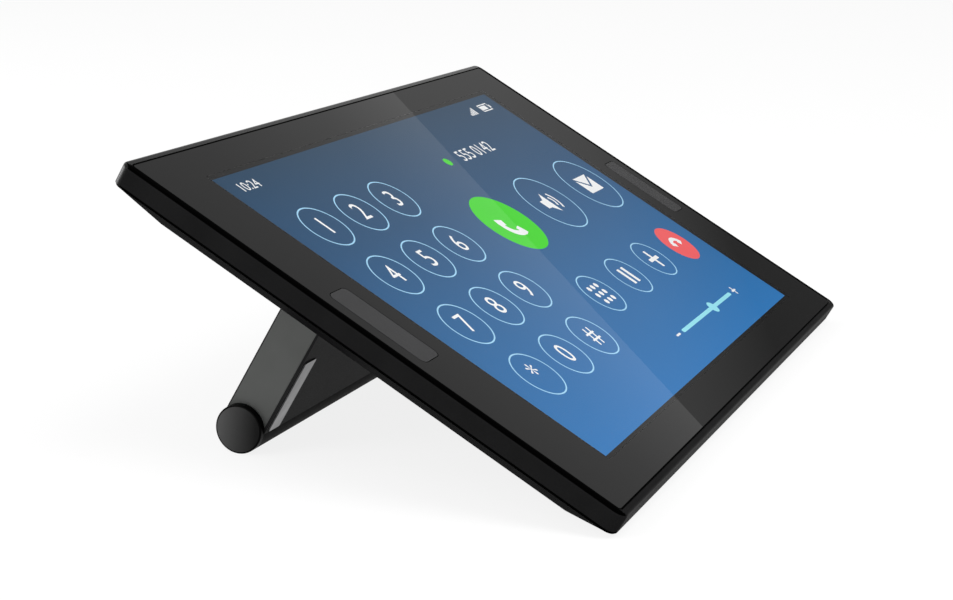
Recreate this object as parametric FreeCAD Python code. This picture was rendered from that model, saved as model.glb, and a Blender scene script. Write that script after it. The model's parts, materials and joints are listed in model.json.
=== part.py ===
import FreeCAD
import Part
import math
import os

VEC = FreeCAD.Vector
SIDES = {"left": -1, "right": 1}

# Every size is in millimetres. The head is drawn lying flat: x to the right, y up the screen and z out of the
# glass, with the origin at the centre of the glass. It is tilted on to the desk at the end.

# Screen and glass
SCREEN_W = 217.0            # lit area, 10.1 inches across the corners at 16:10
SCREEN_H = 135.6
SIDE_BORDER = 24.3          # lit area to glass edge, left and right
END_BORDER = 13.2           # lit area to glass edge, front and rear
GLASS_T = 1.1
GLASS_R = 1.1               # corner of the glass
GLASS_BEVEL = 0.2
FILM_T = 0.3                # black print behind the glass
FILM_INSET = 0.3            # glass edge to film edge
CELL_MARGIN = 3.0           # display cell beyond the lit area
CELL_T = 1.2
GUIDE_T = 1.8
CELL_GAP = 0.2              # cell to tray wall
TRAY_WALL = 0.6
TRAY_FLOOR = 0.5
TRAY_DROP = 0.2             # film to the top of the tray wall
TRAY_GAP = 0.5              # tray to frame ledge

# Front frame
GLASS_GAP = 0.4             # glass edge to rim
SIDE_RIM = 2.3              # rim and wall, left and right
END_RIM = 2.0               # rim and wall, front and rear
RIM_ROUND = 0.9
HEAD_CORNER_R = 3.5
LEDGE_T = 1.5               # shelf that carries the glass
FRAME_SKIRT = 0.2           # wall below the mid plate

# Presence sensors in the side borders
WINDOW_W = 10.4
WINDOW_H = 32.4
WINDOW_R = 2.0
WINDOW_GAP = 0.25
WINDOW_FLANGE = 1.2
WINDOW_FLANGE_T = 0.6
SENSOR_POST_R = 1.8
SENSOR_POST_H = 1.3
SENSOR_POST_MARGIN = 0.5    # window flange room to post
SENSOR_BOARD_W = 12.0
SENSOR_BOARD_T = 1.0
SENSOR_BOARD_END = 2.5      # screw to the end of the board
SENSOR_CAN_SIDE = 5.0
SENSOR_CAN_GAP = 0.2        # can to window
SENSOR_ROOM = 1.5           # board to the notch in the mid plate
SENSOR_CABLE_Y = -12.0
SENSOR_CABLE_W = 8.0
SENSOR_CABLE_PAD = 4.0      # cable end under the sensor board

# Mid plate
FLEX_GAP = 0.4              # tray to mid plate
MID_T = 0.8
MID_EDGE_GAP = 0.35         # mid plate to the lip of the rear cover
MID_CORNER_R = 2.0
TRAY_PAD_W = 20.0
TRAY_PAD_H = 10.0
TRAY_PAD_INSET_X = 42.0     # tray edge to pad centre
TRAY_PAD_INSET_Y = 22.0
BOSS_R = 2.2
BOSS_MARGIN = 0.3           # ledge edge to boss
CHASSIS_SIDE_Y = 52.0
CHASSIS_END_X = 36.0

# Main board
STANDOFF_H = 1.4
STANDOFF_R = 2.2
BOARD_W = 156.0
BOARD_D = 66.0
BOARD_T = 1.2
BOARD_CORNER_R = 2.0
BOARD_HINGE_GAP = 9.0       # board to the hinge flanges
BOARD_SCREW_INSET = 6.0
COMPONENT_H = 1.5           # tallest component
CHIP_SHARE = 0.7            # chips, of the tallest component
CAPACITOR_SHARE = 0.85
COMPONENT_GAP = 0.3         # tallest component to the rear cover
CONNECTOR_D = 5.0
CONNECTOR_EDGE = 1.0        # connector to board edge
CONNECTOR_GAP = 0.15        # connector to mid plate
SHIELD_X = 40.0
SHIELD_W = 40.0
SHIELD_D = 30.0
SHIELD_CORNER_R = 1.0
THERMAL_PAD_T = 0.4
THERMAL_PAD_INSET = 4.0
FLEX_T = 0.25
DISPLAY_FLEX_W = 24.0
DISPLAY_FLEX_INSET = 14.0   # front of the tray to the start of the flex
DISPLAY_FLEX_TAIL = 4.0     # mid plate slot to connector
DISPLAY_CONNECTOR_OFFSET = 6.0
FLEX_ROOM = 1.0             # flex to the sides of its slots
TOUCH_FLEX_X = 56.0
TOUCH_FLEX_W = 16.0
TOUCH_FLEX_EDGE = 0.5       # wall of the cover cavity to flex

# Sockets and key in the rear wall
USB_W = 8.94
USB_H = 3.26
USB_R = 1.5
USB_SHELL = 0.3
USB_D = 7.35
USB_INSET = 0.2             # mouth behind the outer wall
USB_GAP = 0.18              # shell to wall opening
USB_RISE = 1.3              # socket axis above the mid plate
USB_TONGUE_W = 6.69
USB_TONGUE_T = 0.7
USB_TONGUE_R = 0.3
USB_TONGUE_INSET = 1.0
USB_BACK = 0.5
USB_ROOM = 2.5              # shell to the sides of its cut-outs
PORT_BOARD_W = 28.0
PORT_BOARD_D = 10.5
PORT_BOARD_T = 0.8
PORT_BOARD_GAP = 1.9        # frame wall to port board
PORT_SCREW_X = 10.0
PORT_SCREW_EDGE = 4.5       # screw to the board's rear edge
PORT_FLEX_X = -10.0
PORT_FLEX_W = 8.0
PORT_FLEX_LAP = 2.5
KEY_INSET = 43.0            # head side to key centre
KEY_W = 12.0
KEY_H = 2.6
KEY_R = 1.2
KEY_PROUD = 0.4
KEY_TRAVEL = 0.5
KEY_GAP = 0.2
KEY_FLANGE = 1.25           # flange beyond the plunger, each side
KEY_FLANGE_T = 1.0
KEY_NUB_W = 3.0
KEY_NUB_H = 1.6
KEY_NUB_L = 0.6
KEY_REST_GAP = 0.1          # nub to switch when pressed
SWITCH_W = 7.0
SWITCH_D = 3.5
SWITCH_H = 2.4
KEY_ROOM = 1.5              # flange to the sides of its notches

# Rear cover
COVER_WALL = 1.8
REVEAL = 0.35               # shadow gap under the frame
COVER_STEP = 0.3            # cover set in from the frame
BELLY_INSET_X = 9.0
BELLY_INSET_Y = 12.7
BELLY_CORNER_R = 3.0
BELLY_ROUND = 0.8
LIP_T = 1.2
LIP_GAP = 0.15
LIP_LAP = 0.3
LIP_CORNER_R = 0.6
INNER_CORNER_R = 1.8
COVER_SCREW_INSET_X = 31.0
COVER_SCREW_INSET_Y = 27.2
COVER_POST_R = 2.75
COUNTERBORE_GAP = 0.3
COUNTERBORE_SINK = 0.1
RELIEF_GAP = 0.4            # screw head to the pocket in the cover wall
PAD_L = 36.0
PAD_D = 7.5
PAD_DROP = 1.97             # pad thickness at its middle
PAD_INSET = 40.0            # head side to pad centre

# Hinge and stand
HINGE_Y = 28.0
HINGE_INSET = 37.0          # leg end to hinge centre
LUG_W = 16.0
LUG_R = 6.6
LUG_GAP = 0.3               # lug to rear cover opening
LUG_SWEEP_GAP = 0.8         # lug to leg as it folds
FLANGE_SIDE = 6.0           # flange beyond the lug
FLANGE_D = 22.0
FLANGE_T = 2.6
FLANGE_SCREW_INSET = 3.5
PIN_R = 2.5
PIN_GRIP = 14.0             # pin held in the core at each side of the lug
PIN_RUN_GAP = 0.05          # pin to lug bore
PIN_SEAT_GAP = 0.02         # pin to core bore
WASHER_R = 4.6
WASHER_T = 0.6
WASHER_GAP = 0.3            # lug to washer
STAND_LENGTH = 43.2         # hinge axis to foot axis
LEG_W = 198.0
LEG_WALL = 1.4
COVER_LUG_GAP = 0.4
HEEL_Y = 2.0
STOP_GAP = 0.15             # heel to belly when open
FOLD_GAP = 0.8              # foot to belly when folded
CORE_WEB_T = 5.0
CORE_BARREL_R = 5.0
END_PLATE_T = 2.0
END_PLATE_SINK = 0.3
END_PLATE_GAP = 0.1
END_LIP = 0.8               # front cover round the edge of the end plate
SPIGOT_L = 4.0
SPIGOT_GAP = 0.1
LEG_SCREW_Z = -20.0
LEG_SCREW_IN_X = 28.0
LEG_SCREW_END = 11.0        # leg end to outer screws
LEG_BOSS_R = 3.2
LEG_SCREW_SINK = 1.2
LEG_SCREW_TIP = 1.0         # screw tip to the front skin
BADGE_W = 7.0
BADGE_H = 25.0
BADGE_R = 0.6
BADGE_T = 0.4
BADGE_INSET = 1.7           # leg end to badge
BADGE_RISE = 0.8            # foot cradle to badge

# Foot bar
FOOT_R = 7.4
FOOT_PROUD = 0.4            # foot beyond the faces of the leg
FOOT_END = 2.0              # foot beyond the end of the leg
FOOT_CRADLE_GAP = 0.04
FOOT_CAP_T = 2.0
FOOT_CAP_ROUND = 0.4
FOOT_DOME = 0.9             # crown of the cap beyond its rim
SLEEVE_WALL = 2.35
SLEEVE_GAP = 0.05
SLEEVE_SLOT_GAP = 0.15
CAP_SPIGOT_R = 2.4
CAP_SPIGOT_L = 6.0

# Screws: main ones for the chassis and the stand, small ones for the boards
MAIN_SHANK_R = 1.25
MAIN_HEAD_R = 2.1
MAIN_HEAD_H = 0.9
SMALL_SHANK_R = 0.8
SMALL_HEAD_R = 1.6
SMALL_HEAD_H = 0.7
HOLE_GAP = 0.05             # shank to hole
BLIND_GAP = 0.3             # screw tip to the end of its hole
RECESS_L = 2.0
RECESS_W = 0.5
RECESS_D = 0.4

# Sizes that follow
GLASS_W = SCREEN_W + 2 * SIDE_BORDER
GLASS_H = SCREEN_H + 2 * END_BORDER
INNER_W = GLASS_W + 2 * GLASS_GAP
INNER_H = GLASS_H + 2 * GLASS_GAP
HEAD_W = INNER_W + 2 * SIDE_RIM
HEAD_H = INNER_H + 2 * END_RIM
INNER_R = GLASS_R + GLASS_GAP
CELL_W = SCREEN_W + 2 * CELL_MARGIN
CELL_H = SCREEN_H + 2 * CELL_MARGIN
TRAY_W = CELL_W + 2 * (CELL_GAP + TRAY_WALL)
TRAY_H = CELL_H + 2 * (CELL_GAP + TRAY_WALL)
LEDGE_IN_W = TRAY_W + 2 * TRAY_GAP
LEDGE_IN_H = TRAY_H + 2 * TRAY_GAP
LIP_W = INNER_W - 2 * LIP_GAP
LIP_H = INNER_H - 2 * LIP_GAP
MID_W = LIP_W - 2 * (LIP_T + MID_EDGE_GAP)
MID_H = LIP_H - 2 * (LIP_T + MID_EDGE_GAP)
COVER_W = HEAD_W - 2 * COVER_STEP
COVER_H = HEAD_H - 2 * COVER_STEP
BELLY_W = HEAD_W - 2 * BELLY_INSET_X
BELLY_H = HEAD_H - 2 * BELLY_INSET_Y
CHIP_H = COMPONENT_H * CHIP_SHARE
CAPACITOR_H = COMPONENT_H * CAPACITOR_SHARE

# Heights that follow, from the glass down
Z_GLASS = -GLASS_T
Z_FILM = Z_GLASS - FILM_T
Z_LEDGE = Z_FILM - LEDGE_T
Z_CELL = Z_FILM - CELL_T
Z_GUIDE = Z_CELL - GUIDE_T
Z_TRAY = Z_GUIDE - TRAY_FLOOR
Z_MID_TOP = Z_TRAY - FLEX_GAP
Z_MID = Z_MID_TOP - MID_T
Z_FRAME = Z_MID - FRAME_SKIRT
Z_COVER = Z_FRAME - REVEAL
Z_BOARD_TOP = Z_MID - STANDOFF_H
Z_BOARD = Z_BOARD_TOP - BOARD_T
Z_BELLY_IN = Z_BOARD - COMPONENT_H - COMPONENT_GAP
Z_BELLY = Z_BELLY_IN - COVER_WALL
Z_CONNECTOR = Z_MID - CONNECTOR_GAP
Z_FLEX_LOW = (Z_CONNECTOR + Z_BOARD_TOP) / 2
Z_SENSOR = Z_LEDGE - SENSOR_POST_H
Z_SENSOR_BACK = Z_SENSOR - SENSOR_BOARD_T
Z_USB = Z_MID_TOP + USB_RISE
Z_PORT = Z_USB - USB_H / 2
Z_PORT_BACK = Z_PORT - PORT_BOARD_T
Z_KEY = Z_LEDGE - KEY_GAP - KEY_H / 2
HINGE_Z = Z_BELLY - FOLD_GAP - FOOT_R

# Cavity of the rear cover, a wall thickness inside its sloped sides
SLOPE_RUN_X = BELLY_INSET_X - COVER_STEP
SLOPE_RUN_Y = BELLY_INSET_Y - COVER_STEP
SLOPE_DROP = Z_COVER - Z_BELLY
CAVITY_W = COVER_W - 2 * COVER_WALL / math.sin(math.atan2(SLOPE_DROP, SLOPE_RUN_X))
CAVITY_H = COVER_H - 2 * COVER_WALL / math.sin(math.atan2(SLOPE_DROP, SLOPE_RUN_Y))

# Places that follow
WINDOW_X = (LEDGE_IN_W + INNER_W) / 4
SENSOR_SCREW_Y = WINDOW_H / 2 + WINDOW_FLANGE + WINDOW_GAP + SENSOR_POST_MARGIN + SENSOR_POST_R
SENSOR_BOARD_H = 2 * (SENSOR_SCREW_Y + SENSOR_BOARD_END)
CHASSIS_END_Y = LEDGE_IN_H / 2 + BOSS_MARGIN + BOSS_R
COVER_SCREW_X = HEAD_W / 2 - COVER_SCREW_INSET_X
COVER_SCREW_Y = HEAD_H / 2 - COVER_SCREW_INSET_Y
TRAY_PAD_X = TRAY_W / 2 - TRAY_PAD_INSET_X
TRAY_PAD_Y = TRAY_H / 2 - TRAY_PAD_INSET_Y
BOARD_REAR_Y = HINGE_Y - FLANGE_D / 2 - BOARD_HINGE_GAP
BOARD_Y = BOARD_REAR_Y - BOARD_D / 2
BOARD_FRONT_Y = BOARD_REAR_Y - BOARD_D
BOARD_SCREW_X = BOARD_W / 2 - BOARD_SCREW_INSET
BOARD_SCREW_Y = BOARD_D / 2 - BOARD_SCREW_INSET
DISPLAY_CONNECTOR_Y = BOARD_Y - DISPLAY_CONNECTOR_OFFSET
DISPLAY_SLOT_Y = DISPLAY_CONNECTOR_Y - CONNECTOR_D / 2 - DISPLAY_FLEX_TAIL
TOUCH_FLEX_DROP = Z_COVER - Z_FLEX_LOW + FLEX_T / 2
TOUCH_FLEX_Y = TOUCH_FLEX_EDGE + SLOPE_RUN_Y * TOUCH_FLEX_DROP / SLOPE_DROP - CAVITY_H / 2
TOUCH_CONNECTOR_Y = BOARD_FRONT_Y + CONNECTOR_EDGE + CONNECTOR_D / 2
PORT_CONNECTOR_Y = BOARD_REAR_Y - CONNECTOR_EDGE - CONNECTOR_D / 2
SENSOR_CONNECTOR_X = BOARD_W / 2 - CONNECTOR_EDGE - CONNECTOR_D / 2
SENSOR_EDGE_X = WINDOW_X - SENSOR_BOARD_W / 2
USB_MOUTH_Y = HEAD_H / 2 - USB_INSET
PORT_REAR_Y = INNER_H / 2 - PORT_BOARD_GAP
PORT_FRONT_Y = PORT_REAR_Y - PORT_BOARD_D
PORT_SCREW_Y = PORT_REAR_Y - PORT_SCREW_EDGE
KEY_X = HEAD_W / 2 - KEY_INSET
KEY_FLANGE_W = KEY_W + 2 * KEY_FLANGE
KEY_FLANGE_Y = INNER_H / 2 - KEY_GAP
KEY_NUB_Y = KEY_FLANGE_Y - KEY_FLANGE_T - KEY_NUB_L
SWITCH_REAR_Y = KEY_NUB_Y - KEY_TRAVEL - KEY_REST_GAP
SWITCH_FRONT_Y = SWITCH_REAR_Y - SWITCH_D
PAD_X = HEAD_W / 2 - PAD_INSET
HINGE_X = LEG_W / 2 - HINGE_INSET
FLANGE_W = LUG_W + 2 * FLANGE_SIDE
FLANGE_SCREW_X = FLANGE_W / 2 - FLANGE_SCREW_INSET
FLANGE_SCREW_Y = FLANGE_D / 2 - FLANGE_SCREW_INSET
CORE_LUG_GAP = WASHER_T + WASHER_GAP
PIN_HALF = LUG_W / 2 + CORE_LUG_GAP + PIN_GRIP
LEG_T = 2 * (FOOT_R - FOOT_PROUD)
HEEL_Z = FOLD_GAP + FOOT_R - STOP_GAP
CRADLE_R = FOOT_R + FOOT_CRADLE_GAP
BEAD_R = FOOT_R - SLEEVE_WALL - SLEEVE_GAP
SLEEVE_HALF = LEG_W / 2 + FOOT_END - FOOT_CAP_T
END_PLATE_X = LEG_W / 2 - END_PLATE_SINK
CORE_HALF = END_PLATE_X - END_PLATE_T
BACK_HALF = CORE_HALF - END_PLATE_GAP
LEG_SCREW_OUT_X = LEG_W / 2 - LEG_SCREW_END
CRADLE_RISE = math.sqrt(CRADLE_R ** 2 - (LEG_T / 2) ** 2)
BIG = HEAD_W + HEAD_H       # longer than anything it cuts


def mirrored(x, y):
    """The four points at plus and minus x and y."""
    return [(sx * x, sy * y) for sx in (-1, 1) for sy in (-1, 1)]


CHASSIS_POINTS = mirrored(WINDOW_X, CHASSIS_SIDE_Y) + mirrored(CHASSIS_END_X, CHASSIS_END_Y)
SENSOR_POINTS = mirrored(WINDOW_X, SENSOR_SCREW_Y)
PORT_POINTS = [(-PORT_SCREW_X, PORT_SCREW_Y), (PORT_SCREW_X, PORT_SCREW_Y)]
COVER_POINTS = mirrored(COVER_SCREW_X, COVER_SCREW_Y) + [(0.0, COVER_SCREW_Y)]
BOARD_POINTS = [(x, BOARD_Y + y) for x, y in mirrored(BOARD_SCREW_X, BOARD_SCREW_Y)]
HINGE_POINTS = [
    (side * HINGE_X + x, HINGE_Y + y)
    for side in SIDES.values()
    for x, y in mirrored(FLANGE_SCREW_X, FLANGE_SCREW_Y)
]
LEG_SCREW_XS = [side * x for side in SIDES.values() for x in (LEG_SCREW_IN_X, LEG_SCREW_OUT_X)]


# Basic shapes

def box(x0, x1, y0, y1, z0, z1):
    """Block between two corners."""
    return Part.makeBox(x1 - x0, y1 - y0, z1 - z0, VEC(x0, y0, z0))


def block(x, y, w, d, z0, z1):
    """Block centred at x and y."""
    return box(x - w / 2, x + w / 2, y - d / 2, y + d / 2, z0, z1)


def outline(w, h, r, z, x=0.0, y=0.0):
    """Closed rounded rectangle at height z, centred at x and y."""
    edges = []
    corners = [(1, -1, -90), (1, 1, 0), (-1, 1, 90), (-1, -1, 180)]
    arcs = []
    for sx, sy, start in corners:
        centre = VEC(x + sx * (w / 2 - r), y + sy * (h / 2 - r), z)
        circle = Part.Circle(centre, VEC(0, 0, 1), r)
        arcs.append(Part.Arc(circle, math.radians(start), math.radians(start + 90)))
    for index, arc in enumerate(arcs):
        following = arcs[(index + 1) % len(arcs)]
        edges.append(arc.toShape())
        edges.append(Part.LineSegment(arc.EndPoint, following.StartPoint).toShape())
    return Part.Wire(edges)


def slab(w, h, r, z0, z1, x=0.0, y=0.0):
    """Plate with rounded corners between two heights."""
    return Part.Face(outline(w, h, r, z0, x, y)).extrude(VEC(0, 0, z1 - z0))


def slab_y(w, h, r, y0, y1, x, z):
    """Plate with rounded corners that faces along y, centred at x and z."""
    plate = slab(w, h, r, 0, y1 - y0)
    plate.rotate(VEC(0, 0, 0), VEC(1, 0, 0), -90)
    return plate.translated(VEC(x, y0, z))


def disc(x, y, r, z0, z1):
    """Upright cylinder."""
    return Part.makeCylinder(r, z1 - z0, VEC(x, y, z0))


def rod(x0, x1, y, z, r):
    """Cylinder along x."""
    return Part.makeCylinder(r, x1 - x0, VEC(x0, y, z), VEC(1, 0, 0))


def post_y(x, z, r, y0, y1):
    """Cylinder along y."""
    return Part.makeCylinder(r, y1 - y0, VEC(x, y0, z), VEC(0, 1, 0))


def frustum(low, high):
    """Solid with flat sloped sides between two closed outlines."""
    return Part.makeLoft([low, high], True, True)


def joined(shapes):
    """One solid made of shapes that overlap or share a face."""
    return shapes[0].multiFuse(shapes[1:]).removeSplitter()


def edges_at(shape, z):
    """Edges of a shape that lie flat at height z."""
    near = 1e-5
    return [e for e in shape.Edges if abs(e.BoundBox.ZMin - z) < near and abs(e.BoundBox.ZMax - z) < near]


def ribbon(route, w, t):
    """Flat cable of width w that follows square turns through (y, z) points, centred at x of zero."""
    runs = []
    for (ya, za), (yb, zb) in zip(route, route[1:]):
        y0, y1 = min(ya, yb) - t / 2, max(ya, yb) + t / 2
        z0, z1 = min(za, zb) - t / 2, max(za, zb) + t / 2
        runs.append(box(-w / 2, w / 2, y0, y1, z0, z1))
    return joined(runs) if len(runs) > 1 else runs[0]


def screw(size, length, x, y, z):
    """Pan head screw that points up, with the underside of its head at height z."""
    shank_r, head_r, head_h = size
    body = disc(x, y, head_r, z - head_h, z).fuse(disc(x, y, shank_r, z, z + length))
    low = z - head_h
    bars = [
        block(x, y, RECESS_L, RECESS_W, low, low + RECESS_D),
        block(x, y, RECESS_W, RECESS_L, low, low + RECESS_D),
    ]
    return body.cut(bars)


MAIN_SCREW = (MAIN_SHANK_R, MAIN_HEAD_R, MAIN_HEAD_H)
SMALL_SCREW = (SMALL_SHANK_R, SMALL_HEAD_R, SMALL_HEAD_H)


def screws(size, points, z, tip):
    """Group of screws seated at height z whose tips reach height tip."""
    return Part.makeCompound([screw(size, tip - z, x, y, z) for x, y in points])


def holes(size, points, z0, z1):
    """Clearance holes for a group of screws."""
    return [disc(x, y, size[0] + HOLE_GAP, z0, z1) for x, y in points]


# Display

def window_holes(gap, z0, z1):
    """Room for both sensor windows, a gap larger all round."""
    w, h, r = WINDOW_W + 2 * gap, WINDOW_H + 2 * gap, WINDOW_R + gap
    return [slab(w, h, r, z0, z1, side * WINDOW_X) for side in SIDES.values()]


def cover_glass():
    glass = slab(GLASS_W, GLASS_H, GLASS_R, Z_GLASS, 0)
    glass = glass.makeChamfer(GLASS_BEVEL, edges_at(glass, 0))
    return glass.cut(window_holes(WINDOW_GAP, Z_GLASS, 0))


def border_film():
    film = slab(GLASS_W - 2 * FILM_INSET, GLASS_H - 2 * FILM_INSET, GLASS_R - FILM_INSET, Z_FILM, Z_GLASS)
    lit = block(0, 0, SCREEN_W, SCREEN_H, Z_FILM, Z_GLASS)
    return film.cut([lit] + window_holes(WINDOW_GAP, Z_FILM, Z_GLASS))


def lcd_cell():
    return block(0, 0, CELL_W, CELL_H, Z_CELL, Z_FILM)


def light_guide():
    return block(0, 0, CELL_W, CELL_H, Z_GUIDE, Z_CELL)


def backlight_tray():
    outer = block(0, 0, TRAY_W, TRAY_H, Z_TRAY, Z_FILM - TRAY_DROP)
    room = block(0, 0, CELL_W + 2 * CELL_GAP, CELL_H + 2 * CELL_GAP, Z_GUIDE, Z_FILM)
    return outer.cut(room)


def display_flex():
    """Ribbon glued under the tray that drops through the mid plate to its connector."""
    high = Z_TRAY - FLEX_T / 2
    start = DISPLAY_FLEX_INSET - TRAY_H / 2
    end = DISPLAY_CONNECTOR_Y - CONNECTOR_D / 2 - FLEX_T / 2
    route = [(start, high), (DISPLAY_SLOT_Y, high), (DISPLAY_SLOT_Y, Z_FLEX_LOW), (end, Z_FLEX_LOW)]
    return ribbon(route, DISPLAY_FLEX_W, FLEX_T)


def touch_flex():
    """Ribbon from the border film down past the mid plate to the front of the main board."""
    top = Z_FILM - FLEX_T / 2
    end = TOUCH_CONNECTOR_Y - CONNECTOR_D / 2 - FLEX_T / 2
    route = [(TOUCH_FLEX_Y, top), (TOUCH_FLEX_Y, Z_FLEX_LOW), (end, Z_FLEX_LOW)]
    return ribbon(route, TOUCH_FLEX_W, FLEX_T).translated(VEC(TOUCH_FLEX_X, 0, 0))


# Sensors

def sensor_window(side):
    x = side * WINDOW_X
    plate = slab(WINDOW_W, WINDOW_H, WINDOW_R, Z_FILM, 0, x)
    w, h, r = WINDOW_W + 2 * WINDOW_FLANGE, WINDOW_H + 2 * WINDOW_FLANGE, WINDOW_R + WINDOW_FLANGE
    flange = slab(w, h, r, Z_FILM - WINDOW_FLANGE_T, Z_FILM, x)
    return joined([plate, flange])


def sensor_board(side):
    x = side * WINDOW_X
    board = block(x, 0, SENSOR_BOARD_W, SENSOR_BOARD_H, Z_SENSOR_BACK, Z_SENSOR)
    can_top = Z_FILM - WINDOW_FLANGE_T - SENSOR_CAN_GAP
    can = block(x, 0, SENSOR_CAN_SIDE, SENSOR_CAN_SIDE, Z_SENSOR, can_top)
    return joined([board, can]).cut(holes(SMALL_SCREW, SENSOR_POINTS, Z_SENSOR_BACK, Z_SENSOR))


def sensor_cable(side):
    """Ribbon from under a sensor board to the side of the main board."""
    high = Z_SENSOR_BACK - FLEX_T / 2
    near = SENSOR_CONNECTOR_X + CONNECTOR_D / 2 + FLEX_T / 2
    drop = SENSOR_EDGE_X + FLEX_T / 2
    route = [(SENSOR_EDGE_X + SENSOR_CABLE_PAD, high), (drop, high), (drop, Z_FLEX_LOW), (near, Z_FLEX_LOW)]
    cable = ribbon(route, SENSOR_CABLE_W, FLEX_T)
    cable.rotate(VEC(0, 0, 0), VEC(0, 0, 1), -90 * side)
    return cable.translated(VEC(0, SENSOR_CABLE_Y, 0))


def sensor_screws():
    return screws(SMALL_SCREW, SENSOR_POINTS, Z_SENSOR_BACK, Z_LEDGE)


# Frame and mid plate

def frame_bosses():
    """Posts under the ledge for the mid plate, the sensor boards and the port board."""
    bosses = [disc(x, y, BOSS_R, Z_MID_TOP, Z_LEDGE) for x, y in CHASSIS_POINTS]
    bosses += [disc(x, y, SENSOR_POST_R, Z_SENSOR, Z_LEDGE) for x, y in SENSOR_POINTS]
    bosses += [disc(x, y, SENSOR_POST_R, Z_PORT, Z_LEDGE) for x, y in PORT_POINTS]
    return bosses


def usb_opening(gap, y0, y1):
    return slab_y(USB_W + 2 * gap, USB_H + 2 * gap, USB_R + gap, y0, y1, 0, Z_USB)


def key_opening(gap, y0, y1):
    return slab_y(KEY_W + 2 * gap, KEY_H + 2 * gap, KEY_R + gap, y0, y1, KEY_X, Z_KEY)


def front_frame():
    outer = slab(HEAD_W, HEAD_H, HEAD_CORNER_R, Z_FRAME, 0)
    outer = outer.makeFillet(RIM_ROUND, edges_at(outer, 0))
    frame = outer.cut([
        slab(INNER_W, INNER_H, INNER_R, Z_FILM, 0),
        slab(INNER_W, INNER_H, INNER_R, Z_FRAME, Z_LEDGE),
        block(0, 0, LEDGE_IN_W, LEDGE_IN_H, Z_LEDGE, Z_FILM),
    ])
    frame = joined([frame] + frame_bosses())
    usb_half = USB_W / 2 + USB_ROOM
    tip = Z_LEDGE + BLIND_GAP
    cuts = window_holes(WINDOW_FLANGE + WINDOW_GAP, Z_LEDGE, Z_FILM)
    cuts += [
        usb_opening(USB_GAP, INNER_H / 2 - END_RIM, HEAD_H),
        key_opening(KEY_GAP, INNER_H / 2 - END_RIM, HEAD_H),
        box(-usb_half, usb_half, LEDGE_IN_H / 2, INNER_H / 2, Z_LEDGE, Z_USB + USB_H / 2 + USB_GAP),
        block(TOUCH_FLEX_X, TOUCH_FLEX_Y, TOUCH_FLEX_W + 2 * FLEX_ROOM, 2 * FLEX_ROOM, Z_LEDGE, Z_FILM),
    ]
    cuts += holes(MAIN_SCREW, CHASSIS_POINTS, Z_MID_TOP, tip)
    cuts += holes(SMALL_SCREW, SENSOR_POINTS + PORT_POINTS, Z_MID, tip)
    return frame.cut(cuts)


def mid_plate():
    plate = slab(MID_W, MID_H, MID_CORNER_R, Z_MID, Z_MID_TOP)
    pads = [(-TRAY_PAD_X, TRAY_PAD_Y), (TRAY_PAD_X, TRAY_PAD_Y), (0.0, TRAY_PAD_Y)]
    pads += [(-TRAY_PAD_X, -TRAY_PAD_Y), (TRAY_PAD_X, -TRAY_PAD_Y)]
    added = [block(x, y, TRAY_PAD_W, TRAY_PAD_H, Z_MID_TOP, Z_TRAY) for x, y in pads]
    added += [disc(x, y, STANDOFF_R, Z_BOARD_TOP, Z_MID) for x, y in BOARD_POINTS]
    added += [disc(x, y, COVER_POST_R, Z_BELLY_IN, Z_MID) for x, y in COVER_POINTS]
    plate = joined([plate] + added)
    sensor_x = SENSOR_EDGE_X - SENSOR_ROOM
    sensor_y = SENSOR_BOARD_H / 2 + SENSOR_ROOM
    port_x = PORT_BOARD_W / 2 + FLEX_ROOM
    key_x = KEY_FLANGE_W / 2 + KEY_ROOM
    touch_x = TOUCH_FLEX_W / 2 + FLEX_ROOM
    cuts = [
        box(-BIG, -sensor_x, -sensor_y, sensor_y, Z_MID, Z_MID_TOP),
        box(sensor_x, BIG, -sensor_y, sensor_y, Z_MID, Z_MID_TOP),
        box(-port_x, port_x, PORT_FRONT_Y - FLEX_ROOM, BIG, Z_MID, Z_MID_TOP),
        box(KEY_X - key_x, KEY_X + key_x, SWITCH_FRONT_Y - FLEX_ROOM, BIG, Z_MID, Z_MID_TOP),
        box(TOUCH_FLEX_X - touch_x, TOUCH_FLEX_X + touch_x, -BIG, TOUCH_FLEX_Y + FLEX_ROOM, Z_MID, Z_MID_TOP),
        block(0, DISPLAY_SLOT_Y, DISPLAY_FLEX_W + 2 * FLEX_ROOM, 2 * FLEX_ROOM, Z_MID, Z_MID_TOP),
    ]
    cuts += holes(MAIN_SCREW, CHASSIS_POINTS + HINGE_POINTS, Z_MID, Z_MID_TOP)
    cuts += holes(SMALL_SCREW, BOARD_POINTS, Z_BOARD_TOP, Z_MID_TOP)
    cuts += holes(MAIN_SCREW, COVER_POINTS, Z_BELLY_IN, Z_MID_TOP)
    return plate.cut(cuts)


def chassis_screws():
    return screws(MAIN_SCREW, CHASSIS_POINTS, Z_MID, Z_LEDGE)


# Main board

def main_board():
    board = slab(BOARD_W, BOARD_D, BOARD_CORNER_R, Z_BOARD, Z_BOARD_TOP, 0, BOARD_Y)
    return board.cut(holes(SMALL_SCREW, BOARD_POINTS, Z_BOARD, Z_BOARD_TOP))


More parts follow.
